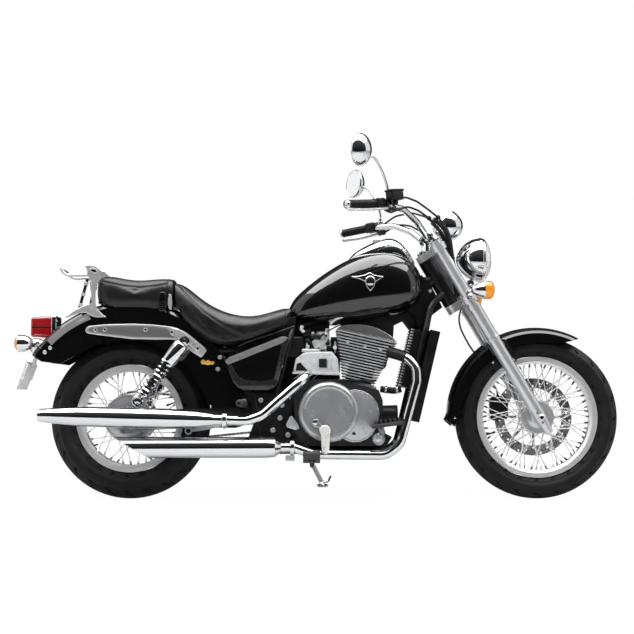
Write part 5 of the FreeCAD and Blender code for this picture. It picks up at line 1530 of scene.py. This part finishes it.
rearSignalAt = (-421, 132, 620)
bullets, rearLenses = [], []
for side in (-1, 1):
    at = Vector((rearSignalAt[0], side * rearSignalAt[1], rearSignalAt[2]))
    bullets += [
        turnedPart(
            "rearSignalShell",
            [(12, 29), (12, 32.5), (9, 34), (2, 34), (-12, 33), (-26, 29), (-38, 21), (-44, 12), (-46, 0)],
            at, (-1, 0, 0), steps=48),
        rodPart("rearSignalStem", at + Vector((22, 0, 0)), at + Vector((22, -side * 78, 12)), 8, 20, 1),
    ]
    rearLenses.append(
        turnedPart(
            "rearSignalLens", [(4, 0), (4, 29.5), (12, 30), (18, 27), (23, 19), (26, 9), (26.6, 0)], at,
            (-1, 0, 0), steps=48))
finishAll("rearSignals", bullets, chrome, "chassis", "trim_chrome", smooth=45)
finishAll("rearSignalLenses", rearLenses, amberLens, "chassis", "lamp_plastic", smooth=45)

plateTop, plateLow = Vector((-408, 0, 549)), Vector((-447, 0, 439))
plateWay = (plateLow - plateTop).normalized()
plateOut = Vector((plateWay.z, 0, -plateWay.x))
plateScrews = []
for side in (-1, 1):
    plateScrews.append(
        capBolt(
            "plateScrew", plateTop + plateWay * 12 + Vector((0, side * 60, 0)) + plateOut * 2.5, plateOut, 9,
            3))
finishAll("plateScrews", plateScrews, steel, "chassis", "trim_chrome")
print("tail ready")

# engine

bore = {
    "x": 878, "z": 320, "frontTilt": 12.8, "rearTilt": -40, "base": 150, "headTop": 341, "fins": 17,
    "thick": 4.4, "corner": 18, "half": 104}


def boreMatrix(tilt):
    # across the fins, along the crank and up the bore, for u, y and w
    t = math.radians(tilt)
    across = Vector((math.cos(t), 0, -math.sin(t)))
    up = Vector((math.sin(t), 0, math.cos(t)))
    turn = Matrix((across, Vector((0, 1, 0)), up)).transposed().to_4x4()
    turn.translation = Vector((bore["x"], 0, bore["z"])) * mm
    return turn


def borePoint(tilt, u, y, w):
    return boreMatrix(tilt) @ (Vector((u, y, w)) * mm) / mm


def roundedOutline(u0, u1, v0, v1, radius, steps=4):
    corners = [
        (u1 - radius, v1 - radius, 0), (u0 + radius, v1 - radius, 90), (u0 + radius, v0 + radius, 180),
        (u1 - radius, v0 + radius, 270)]
    points = []
    for u, v, start in corners:
        for step in range(steps + 1):
            a = math.radians(start + 90 * step / steps)
            points.append((u + radius * math.cos(a), v + radius * math.sin(a)))
    return points


def finPlate(name, u0, u1, w, half, tilt):
    fin = drawLine(
        name, [(u, y, w) for u, y in roundedOutline(u0, u1, -half, half, bore["corner"])], closed=True)
    bpy.ops.mesh.select_all(action="SELECT")
    bpy.ops.mesh.extrude_region_move(TRANSFORM_OT_translate={"value": (0, 0, bore["thick"] * mm)})
    bpy.ops.mesh.select_all(action="SELECT")
    bpy.ops.mesh.normals_make_consistent(inside=False)
    editOff()
    bevelEdges(fin, 1.2, 1, 50)
    fin.data.transform(boreMatrix(tilt))
    return fin


def boreBlock(name, u0, u1, w0, w1, half, tilt, bevel):
    block = boxPart(name, ((u0 + u1) / 2, 0, (w0 + w1) / 2), (u1 - u0, 2 * half, w1 - w0), bevel)
    block.data.transform(boreMatrix(tilt))
    return block


frontFins, frontCore = [], []
tilt = bore["frontTilt"]
pitch = (bore["headTop"] - bore["base"]) / (bore["fins"] - 0.5)
for index in range(bore["fins"]):
    w = bore["base"] + index * pitch
    share = index / (bore["fins"] - 1)
    half = bore["half"] - 12 * (1 - share)
    frontFins.append(finPlate("frontFins", -58 - 70 * share, 72 + 52 * share, w, half, tilt))
# the cylinders' cores, front and rear, are black: painted shade in the gaps between the fins
frontCore += [
    boreBlock("frontCore", -46, 60, bore["base"] - 12, 232, 80, tilt, 14),
    boreBlock("frontCore", -102, 102, 226, 340, 82, tilt, 14),
]
for u in (-70, 0, 64):
    for side in (-1, 1):
        at = borePoint(tilt, u, side * 92, 300)
        frontFins.append(rodPart("finBoss", at, at + Vector((0, side * 11, 0)), 6.5, 16, 1.2))
rearTilt = bore["rearTilt"]
for index in range(5):
    frontFins.append(finPlate("rearFins", -66, 66, 212 + index * 12, 84, rearTilt))
frontCore.append(boreBlock("rearCore", -52, 52, 122, 266, 68, rearTilt, 10))
finishAll("cylinderFins", frontFins, finAlloy, "chassis", "fin_alloy", "front_cylinder", "rear_cylinder")
finishAll("cylinderCores", frontCore, satinBlack, "chassis", "fin_alloy")


def boreOutline(rows):
    # a side outline given across and up the front bore
    return [(at.x, at.z) for at in (borePoint(tilt, u, 0, w) for u, w in rows)]


flange = platePart("barrelFlange", boreOutline([(-72, 138), (-72, 150), (82, 150), (82, 138)]), -92, 92, 3)
finish(flange, castAlloy, "chassis", "cast_alloy")

domeRise = [
    (-122, 0), (-121, 8), (-112, 16), (-94, 25), (-70, 33), (-36, 41), (0, 44), (36, 41), (70, 32), (98, 20),
    (112, 11), (118, 0)]
domeSeamRise = [(-124, 1), (-124, 6), (119, 6), (119, 1)]
dome = platePart(
    "headDome", boreOutline([(u, bore["headTop"] + rise) for u, rise in domeRise]), -78, 78, 15, 5)
domeSeam = platePart(
    "headDomeSeam", boreOutline([(u, bore["headTop"] + rise) for u, rise in domeSeamRise]), -81, 81, 1.5)
finish(joinAll("headDome", [dome, domeSeam]), domeAlloy, "chassis", "polished_alloy", smooth=50)
domeBolts = []
upBore = borePoint(tilt, 0, 0, 1) - borePoint(tilt, 0, 0, 0)
for u, rise in ((-96, 16), (0, 36), (92, 14)):
    for side in (-1, 1):
        domeBolts.append(
            capBolt("domeBolt", borePoint(tilt, u, side * 62, bore["headTop"] + rise), upBore, 13, 7))
finishAll("domeBolts", domeBolts, brushedChrome, "chassis", "trim_chrome")

sideOutline = [(658, 512), (668, 560), (700, 584), (728, 586), (812, 589), (836, 560), (842, 500), (700, 505)]
casting = [platePart("headSideCasting", sideOutline, -92, -121, 5, 4)]
casting += [
    platePart("castingLedge", [(655, 500), (655, 509), (844, 506), (844, 494)], -92, -127, 2, 2),
    platePart("castingTop", [(690, 588), (694, 600), (760, 600), (770, 588)], -60, -110, 3, 3),
    rodPart("castingColumn", (803, -118, 518), (803, -118, 568), 9, 20, 2),
]
finishAll("headSideCasting", casting, lightAlloy, "chassis", "cast_alloy", "head_covers", smooth=40)
blackCap = rodPart("castingCap", (776, -122, 524), (776, -122, 560), 16, 32, 4)
# a black plate where the casting has a recess: painted shade
recessShade = platePart(
    "castingRecess", [(668, 512), (672, 540), (686, 546), (700, 530), (716, 512)], -118, -123, 1.5)
finish(joinAll("castingCap", [blackCap, recessShade]), mouldedBlack, "chassis", "frame_paint")

bright, dark = [], []
for z0, z1, radius in ((566, 592, 24), (636, 664, 27)):
    bright.append(rodPart("carburettorBowl", (771, -40, z0), (771, -40, z1), radius, 36, 3))
bright += [
    rodPart("carburettorThroat", (730, -40, 612), (812, -40, 612), 24, 32, 2),
    rodPart("carburettorTop", (771, -40, 662), (771, -40, 672), 20, 32, 3),
    boxPart("carburettorBody", (771, -40, 618), (48, 66, 42), 4),
    rodPart("throttleWheel", (750, -74, 622), (750, -82, 622), 18, 36, 1.5),
    rodPart("throttleStop", (786, -70, 606), (786, -88, 606), 5, 12, 1),
    rodPart("petcock", (793, -62, 640), (793, -62, 684), 7.5, 20, 1.5),
]
for x in (712, 826):
    bright.append(
        turnedPart(
            "hoseClamp", [(-4, 27.5), (-4, 30), (4, 30), (4, 27.5)], (x, -40, 612), (1, 0, 0), steps=36,
            closed=True))
for x, z in ((752, 640), (790, 640), (756, 594), (788, 594)):
    bright.append(capBolt("carburettorScrew", (x, -73, z), (0, -1, 0), 8, 4))
for x, z, radius in ((736, 664, 6), (788, 664, 6), (716, 610, 7), (748, 606, 5), (824, 606, 8)):
    bright.append(rodPart("carburettorBoss", (x, -80, z), (x, -90, z), radius, 20, 1.2))
bright += [
    tubePart("fuelPipe", [(806, -80, 700), (822, -84, 716), (856, -88, 730)], 5, 8, 12),
    tubePart("fuelPipe", [(700, -84, 668), (690, -88, 680), (694, -88, 694)], 7, 8, 12),
]
finishAll("carburettor", bright, lightAlloy, "chassis", "cast_alloy", "intake", smooth=40)
for x0, x1 in ((698, 732), (808, 846)):
    dark.append(
        turnedPart(
            "intakeBoot",
            [(0, 24), (0, 28), (6, 29), (12, 27), (18, 29), (24, 27), (x1 - x0 - 4, 28), (x1 - x0, 24)],
            (x0, -40, 612), (1, 0, 0), steps=36, closed=True))
dark.append(boxPart("airbox", (652, -7, 609), (96, 154, 86), 10, None, 3))
blocks = [
    (712, 664, 30, 26), (742, 650, 34, 18), (716, 636, 22, 16), (800, 598, 20, 30), (820, 642, 26, 14),
    (756, 604, 12, 40)]
for x, z, wide, tall in blocks:
    dark.append(boxPart("carburettorBlock", (x, -66, z), (wide, 26, tall), 4, None, 3))
dark += [
    rodPart("vacuumPiston", (728, -92, 650), (766, -92, 650), 9, 20, 2),
    rodPart("idleScrewCap", (796, -84, 622), (796, -98, 622), 9, 20, 2),
    rodPart("bowlBand", (771, -40, 600), (771, -40, 606), 25.5, 36, 1),
    tubePart("fuelHose", [(793, -62, 650), (780, -84, 660), (762, -76, 640), (760, -70, 630)], 4.5, 8, 10),
    tubePart("vacuumHose", [(700, -70, 636), (724, -86, 630), (740, -88, 600), (760, -76, 578)], 4, 8, 10),
    tubePart("throttleCable", [(750, -80, 636), (790, -74, 668), (850, -60, 700), (900, -50, 716)], 3, 8, 8),
]
finishAll("intakeRubber", dark, mouldedBlack, "chassis", "frame_paint", smooth=40)
print("cylinders and intake ready")

clutch = {"x": 799, "z": 349, "caseY": -150, "boltCircle": 115.5}
clutchAt = (clutch["x"], clutch["caseY"], clutch["z"])
cover = turnedPart(
    "clutchCover",
    [
        (0, 0), (0, 120), (7, 120), (9, 119), (20, 118.5), (29, 117), (35, 113.5), (39, 109), (41.5, 104),
        (42, 99), (41.6, 96), (40, 94), (39.6, 91), (39.8, 60), (40, 0)],
    clutchAt, (0, -1, 0), steps=96)
timingOutline = [
    (846, 422), (872, 433), (902, 438), (928, 434), (952, 423), (972, 408), (987, 388), (996, 364),
    (998, 340), (993, 312), (984, 286), (970, 262), (950, 244), (924, 233), (892, 230), (866, 238),
    (842, 252), (824, 300), (820, 360)]
timing = platePart("timingCover", timingOutline, -150, -170, 3, 3)


def timingInset(x, z, share):
    # nearer the timing cover's middle by a share of the way
    return x + (918 - x) * share, z + (334 - z) * share


timingInner = [timingInset(x, z, 0.06) for x, z in timingOutline]
timingFace = platePart("timingCoverFace", timingInner, -160, -182, 8, 2)
generatorAt = (905, 140, 330)
generator = turnedPart(
    "generatorCover", [(0, 0), (0, 92), (8, 92), (10, 89), (26, 87), (36, 80), (42, 70), (44, 58), (44, 0)],
    generatorAt, (0, 1, 0), steps=72)
sprocketOutline = [(640, 262), (700, 236), (806, 250), (812, 330), (806, 400), (740, 424), (650, 400)]
sprocketCover = platePart("sprocketCover", sprocketOutline, 141, 156, 5, 4)
finish(
    joinAll("engineCovers", [cover, timing, timingFace, generator, sprocketCover]), polishedAlloy, "chassis",
    "polished_alloy", "engine_covers", smooth=35)
coverBolts = []
for index in range(1, 8):  # none where the timing cover overlaps
    at = ringPoint(clutchAt, clutch["boltCircle"], 20 + 40 * index, -157)
    coverBolts.append(capBolt("coverBolt", at, (0, -1, 0), 9, 5))
for x, z in timingOutline[1:17:2]:
    x, z = timingInset(x, z, 0.07)
    coverBolts.append(capBolt("coverBolt", (x, -170, z), (0, -1, 0), 10, 6))
for index in range(6):
    coverBolts.append(capBolt("coverBolt", ringPoint(generatorAt, 84, 60 * index, 150), (0, 1, 0), 9, 5))
for x, z in ((655, 275), (655, 388), (740, 410), (792, 388), (792, 262), (702, 250)):
    coverBolts.append(capBolt("coverBolt", (x, 156, z), (0, 1, 0), 10, 6))
finishAll("coverBolts", coverBolts, brushedChrome, "chassis", "trim_chrome")

filterAt = (1014, -62, 338)
blackParts = [
    turnedPart(
        "oilFilter", [(0, 0), (0, 37), (50, 37.5), (57, 37), (61, 35), (61, 0)], filterAt, (1, 0, 0), steps=40
    )]
for index in range(12):
    a = 2 * math.pi * index / 12
    flute = (1068, filterAt[1] + 36 * math.cos(a), filterAt[2] + 36 * math.sin(a))
    blackParts.append(boxPart("filterFlute", flute, (12, 5, 5), 1))
blackParts += [
    tubePart(
        "coolantHose", [(1008, -60, 440), (1040, -66, 436), (1062, -70, 434), (1090, -74, 440)], 13, 8, 20),
    tubePart("headerSleeve", [(1040, -92, 588), (1078, -113, 576), (1108, -131, 565)], 22.5, 8, 28),
]
finishAll("filterAndHoses", blackParts, mouldedBlack, "chassis", "frame_paint", smooth=40)
clampRings = []
for at, way in (((1030, -64, 438), (1, -0.1, -0.1)), ((1074, -72, 437), (1, -0.1, 0.1))):
    clampRings.append(
        turnedPart("hoseRing", [(-4, 12), (-4, 15.6), (4, 15.6), (4, 12)], at, way, steps=28, closed=True))
horn = turnedPart(
    "hornBody", [(0, 0), (0, 24), (4, 26), (9, 26), (16, 22), (24, 12), (28, 6), (28, 0)], (994, -138, 244),
    (0.2, -1, -0.1), steps=40)
finish(joinAll("hoseRings", clampRings + [horn]), brushedChrome, "chassis", "trim_chrome", smooth=40)

caseParts = [
    boxPart("caseRib", (840, 0, 474), (300, 250, 8), 3),
    rodPart("oilCap", (700, -150, 452), (700, -162, 452), 15, 24, 3)]
for index in range(7):
    caseParts.append(boxPart("sumpFin", (740 + 34 * index, 0, 206), (5, 176, 12), 1))
caseParts += [
    platePart(
        "lowerShield", [(640, 250), (664, 216), (1030, 216), (1052, 250), (1012, 270), (668, 270)], -100, 100,
        3),
    platePart(
        "rearShield", [(644, 226), (672, 226), (676, 400), (660, 430), (648, 430), (640, 330)], -98, 98, 3),
]
finishAll("caseDetails", caseParts, caseBlack, "chassis", "cast_alloy")
# black plates in the middle of the bike, behind the carburettor and under the tank, fill the gaps with
# painted shade
shadeFills = [
    platePart(
        "intakeShield",
        [
            (600, 430), (622, 600), (650, 626), (654, 690), (662, 712), (800, 735), (803, 700), (803, 640),
            (846, 632), (846, 430)],
        -10, 10, 2),
    platePart(
        "tankShield",
        [
            (796, 745), (1067, 779), (1176, 800), (1172, 684), (1130, 677), (1100, 716), (1066, 700),
            (1062, 640), (1012, 640), (870, 660), (846, 706), (830, 700), (800, 700)],
        -10, 10, 2)]
finishAll("intakeShields", shadeFills, mouldedBlack, "chassis", "frame_paint")
fan = [
    platePart(
        "caseFan", [(646, 332), (655, 333), (676, 304), (684, 284), (668, 278), (634, 289), (631, 300)], -140,
        -156, 3, 3)]
for index in range(3):
    a = Vector((650, -154, 326)).lerp(Vector((652, -154, 328)), index / 2)
    b = Vector((640, -158, 292)).lerp(Vector((676, -158, 284)), index / 2)
    fan.append(rodPart("caseFanRib", a, b, 2.5, 8, 0, 3.6))
fan += [
    boxPart("exhaustLug", (647, -172, 169), (36, 12, 22), 3),
    capBolt("exhaustLugBolt", (652, -178, 166), (0, -1, 0), 11, 4),
]
finishAll("caseFan", fan, finAlloy, "chassis", "cast_alloy", smooth=40)

radiator = {
    "top": (1223, 0, 670), "low": (1137, 0, 312), "fins": 44, "teeth": 21, "edge": 24, "toothRun": 228}
radiatorTop, radiatorLow = Vector(radiator["top"]), Vector(radiator["low"])
radiatorWay = (radiatorLow - radiatorTop).normalized()
radiatorAhead = Vector((-radiatorWay.z, 0, radiatorWay.x))
coreFins, teeth = [], []
coreLength = (radiatorLow - radiatorTop).length - 2 * radiator["edge"]
turn = Matrix((radiatorAhead, Vector((0, 1, 0)), -radiatorWay)).transposed().to_4x4()
for index in range(radiator["fins"]):
    at = radiatorTop + radiatorWay * (radiator["edge"] + coreLength * (index + 0.5) / radiator["fins"])
    for ahead, wide in ((-10, 167), (10, 255)):
        coreFins.append(boxPart("radiatorFin", at + radiatorAhead * ahead, (5, wide, 2.4), 0, turn))
for index in range(radiator["teeth"]):
    at = radiatorTop + radiatorWay * (
        12 + radiator["toothRun"] * index / (radiator["teeth"] - 1)) - radiatorAhead * 86
    for y in (-84, 84):
        teeth.append(boxPart("radiatorTooth", at + Vector((0, y, 0)), (14, 16, 6), 1, turn))
finishAll("radiatorCore", coreFins, mouldedBlack, "chassis", "radiator_paint")
finishAll("radiatorTeeth", teeth, finAlloy, "chassis", "fin_alloy")
print("engine ready")

# exhaust, foot pieces, chain and fasteners

rings = []
clamps = [((392, -200, 317.8), (1, 0, -0.02), 29.5, 10), ((656, -172, 211), (1, 0, 0), 30, 9)]
for at, way, outer, half in clamps:
    inner = 22
    rings += [
        turnedPart(
            "exhaustClamp",
            [
                (-half, inner), (-half, outer - 2), (-half + 2, outer), (half - 2, outer), (half, outer - 2),
                (half, inner)],
            at, way, steps=40, closed=True),
        hexBolt("clampBolt", Vector(at) + Vector((0, -6, -outer - 1)), (0, -1, 0), 8, 5),
    ]
finishAll("exhaustClamps", rings, chrome, "chassis", "exhaust_chrome")
hangers = [
    turnedPart(
        "exhaustBracketRing", [(-9, 9), (-9, 15), (9, 15), (9, 9)], (247, -150, 275), (0, 1, 0), steps=32,
        closed=True)]
hangers.append(
    tubePart(
        "exhaustBracketRod", [(262, -150, 277), (310, -148, 284), (380, -140, 298), (470, -122, 306)], 6, 6,
        12))
finishAll("exhaustBracket", hangers, brushedChrome, "chassis", "trim_chrome")

brakeOutline = [
    (770, 214), (772, 196), (781, 187), (794, 188), (800, 200), (802, 240), (803, 262), (806, 278),
    (802, 290), (790, 298), (774, 297), (762, 288), (761, 278), (768, 262)]
armOutline = [
    (736, 300), (742, 291), (764, 284), (790, 280), (794, 290), (770, 298), (756, 322), (744, 322), (735, 312)
]
brakeArm = platePart("brakeLever", brakeOutline, -203, -211, 3.6, 4)
finish(brakeArm, creamAlloy, "chassis", "polished_alloy", "foot_levers", smooth=45)
brakeLink = [
    platePart("brakeLink", armOutline, -197, -203.5, 2, 3),
    rodPart("brakeLinkBoss", (745, -192.4, 309), (745, -209, 309), 12, 32, 2.5)]
finishAll("brakeLink", brakeLink, polishedAlloy, "chassis", "polished_alloy", smooth=45)
brakeNuts = [
    hexBolt("brakeLeverNut", (745, -209, 309), (0, -1, 0), 15, 6),
    capBolt("coverNut", (776, -192, 283), (0, -1, 0), 12, 5),
    capBolt("coverNut", (897, -182, 263), (0, -1, 0), 15, 7)]
finishAll("brakeLeverNuts", brakeNuts, chrome, "chassis", "trim_chrome")

treads, treadPosts = [], []
treadTurn = Matrix.Rotation(-math.atan2(16, 118), 4, "Y")
for side in (-1, 1):
    treads.append(boxPart("treadBar", (1026, side * 204, 300), (120, 66, 15), 4, treadTurn, 3))
    for index in range(6):
        treads.append(
            boxPart(
                "treadRib", (983 + 18 * index, side * 204, 310 + 2.4 * index), (6.5, 62, 13), 1.6, treadTurn))
    treadPosts += [
        rodPart("treadPost", (1000, side * 196, 293), (1010, side * 150, 268), 12, 24),
        rodPart("treadFoot", (1010, side * 152, 268), (1010, side * 108, 268), 12, 24),
    ]
finishAll("treads", treads, darkRubber, "chassis", "rest_rubber")
shiftOutline = [(900, 232), (906, 226), (914, 227), (1010, 284), (1008, 294), (1000, 297), (904, 240)]
treadPosts += [
    platePart("gearLever", shiftOutline, 190, 198, 3, 3),
    rodPart("gearLeverBoss", (906, 150, 236), (906, 200, 236), 10, 24, 2),
]
finishAll("treadPosts", treadPosts, castAlloy, "chassis", "cast_alloy")

pegs, pegIrons = [], []


def pegSleeve(name, start, end, radius):
    start, end = Vector(start), Vector(end)
    length = (end - start).length
    profile = [(2, 0), (2, radius - 3)]
    for step in range(8):
        along = 4 + (length - 12) * step / 8
        profile += [
            (along, radius - 2), (along + 1.5, radius), (along + 7, radius), (along + 8.5, radius - 2)]
    profile += [(length - 3, radius - 1), (length - 1, radius - 3), (length, 0)]
    return turnedPart(name, profile, start, end - start, steps=28)


pegs.append(boxPart("rightPeg", (732, -251, 177), (64, 89, 42), 9, None, 4))
for index in range(5):
    pegs.append(boxPart("rightPegRib", (732, -222 - 15 * index, 177), (66, 6, 44), 2))
pegs.append(pegSleeve("leftPeg", (733, 150, 196), (733, 260, 196), 20))
for side in (-1, 1):
    pegs.append(pegSleeve("passengerPeg", (466, side * 160, 380.6), (450, side * 236, 384), 15))
    pegIrons += [
        rodPart("passengerPegRoot", (470, side * 121, 380), (470, side * 152, 380), 10, 20),
        rodPart("passengerPegJoint", (470, side * 150, 380), (464, side * 164, 381), 14, 24, 2),
        capBolt("pegEndBolt", (449.5, side * 236, 384), (-0.2, side, 0), 12, 4),
    ]
pegIrons += [
    tubePart(
        "rightPegHanger", [(733, -120, 180), (733, -126, 152), (733, -198, 150), (733, -210, 168)], 9, 10, 16
    ),
    rodPart("rightPegJoint", (733, -198, 172), (733, -210, 174), 15, 24, 2),
    rodPart("leftPegRoot", (733, 119, 196), (733, 152, 196), 9, 20),
]
for x in (724, 741):
    pegIrons.append(capBolt("pegBolt", (x, -294.5, 165), (0, -1, 0), 9, 3))
finishAll("footpegs", pegs, darkRubber, "chassis", "rest_rubber", "footrests", smooth=45)
finishAll("pegIrons", pegIrons, satinBlack, "chassis", "frame_paint")

drive = {
    "y": 88, "front": (690, 330), "rear": (0, 323), "frontRadius": 44.5, "rearRadius": 107.5, "pitch": 15.875}


def chainPath():
    # where the chain's pins lie: two arcs joined by two straight runs
    front, rear = Vector(drive["front"]), Vector(drive["rear"])
    small, large = drive["frontRadius"], drive["rearRadius"]
    gap = (front - rear).length
    lean = math.asin((large - small) / gap)
    arcRear, arcFront = math.pi + 2 * lean, math.pi - 2 * lean
    run = gap * math.cos(lean)
    total = run * 2 + large * arcRear + small * arcFront
    count = 2 * round(total / drive["pitch"] / 2)
    over, under = Vector((math.sin(lean), math.cos(lean))), Vector((math.sin(lean), -math.cos(lean)))
    places = []
    for index in range(count):
        s = total * index / count
        if s < run:
            places.append((rear + large * over).lerp(front + small * over, s / run))
            continue
        s -= run
        if s < small * arcFront:
            a = math.pi / 2 - lean - s / small
            places.append(front + small * Vector((math.cos(a), math.sin(a))))
            continue
        s -= small * arcFront
        if s < run:
            places.append((front + small * under).lerp(rear + large * under, s / run))
            continue
        s -= run
        a = -math.pi / 2 + lean - s / large
        places.append(rear + large * Vector((math.cos(a), math.sin(a))))
    return places


def chainLink(outer):
    half = drive["pitch"] / 2
    bow = [(half + 5 * math.cos(a), 5.5 * math.sin(a)) for a in (-1.57, -0.52, 0.52, 1.57)]
    outline = bow + [(0, 3.6)] + [(-x, z) for x, z in reversed(bow)] + [(0, -3.6)]
    low, high = (4.2, 6.0) if outer else (2.2, 4.0)
    plates = [platePart("chainPlate", outline, low, high), platePart("chainPlate", outline, -high, -low)]
    reach, radius, sides = (6.6, 2.2, 6) if outer else (2.4, 4.6, 8)  # a link's pins or rollers
    plates += [rodPart("chainPin", (x, -reach, 0), (x, reach, 0), radius, sides) for x in (-half, half)]
    return joinAll("chainLink", plates)


places = chainPath()
patterns = [chainLink(False), chainLink(True)]
links = []
for index, here in enumerate(places):
    there = places[(index + 1) % len(places)]
    way = (there - here).normalized()
    middle = (here + there) / 2
    turn = Matrix(((way.x, 0, way.y), (0, 1, 0), (-way.y, 0, way.x))).transposed().to_4x4()
    turn.translation = Vector((middle.x, drive["y"], middle.y)) * mm
    links.append(copyPart(patterns[index % 2], turn))
for pattern in patterns:
    bpy.data.objects.remove(pattern)
finishAll("chainLinks", links, steel, "chassis", "chain_steel", "drive_chain", smooth=0)

frameBolts = []
for x, z in ((463, 392), (530, 396), (614, 376), (606, 325), (578, 277), (638, 258)):
    for side in (-1, 1):
        frameBolts.append(
            turnedPart(
                "frameBolt", [(0, 0), (0, 10.5), (4, 10), (6, 8), (6, 5.5), (2, 4.5), (2, 0)],
                (x, side * 120, z), (0, side, 0), steps=28))
for x, z in ((367, 566), (359, 519)):
    frameBolts.append(
        turnedPart(
            "frameBolt", [(0, 0), (0, 9), (4, 8.5), (6, 7), (6, 4.5), (2, 4), (2, 0)], (x, -121, z),
            (0, -1, 0), steps=28))
for x, z in ((1212, 838), (1196, 740), (1150, 812)):
    for side in (-1, 1):
        frameBolts.append(capBolt("gussetBolt", (x, side * 34, z), (0, side, 0), 13, 5))
finishAll("frameBolts", frameBolts, brushedChrome, "chassis", "trim_chrome")
print("chain and fasteners ready")
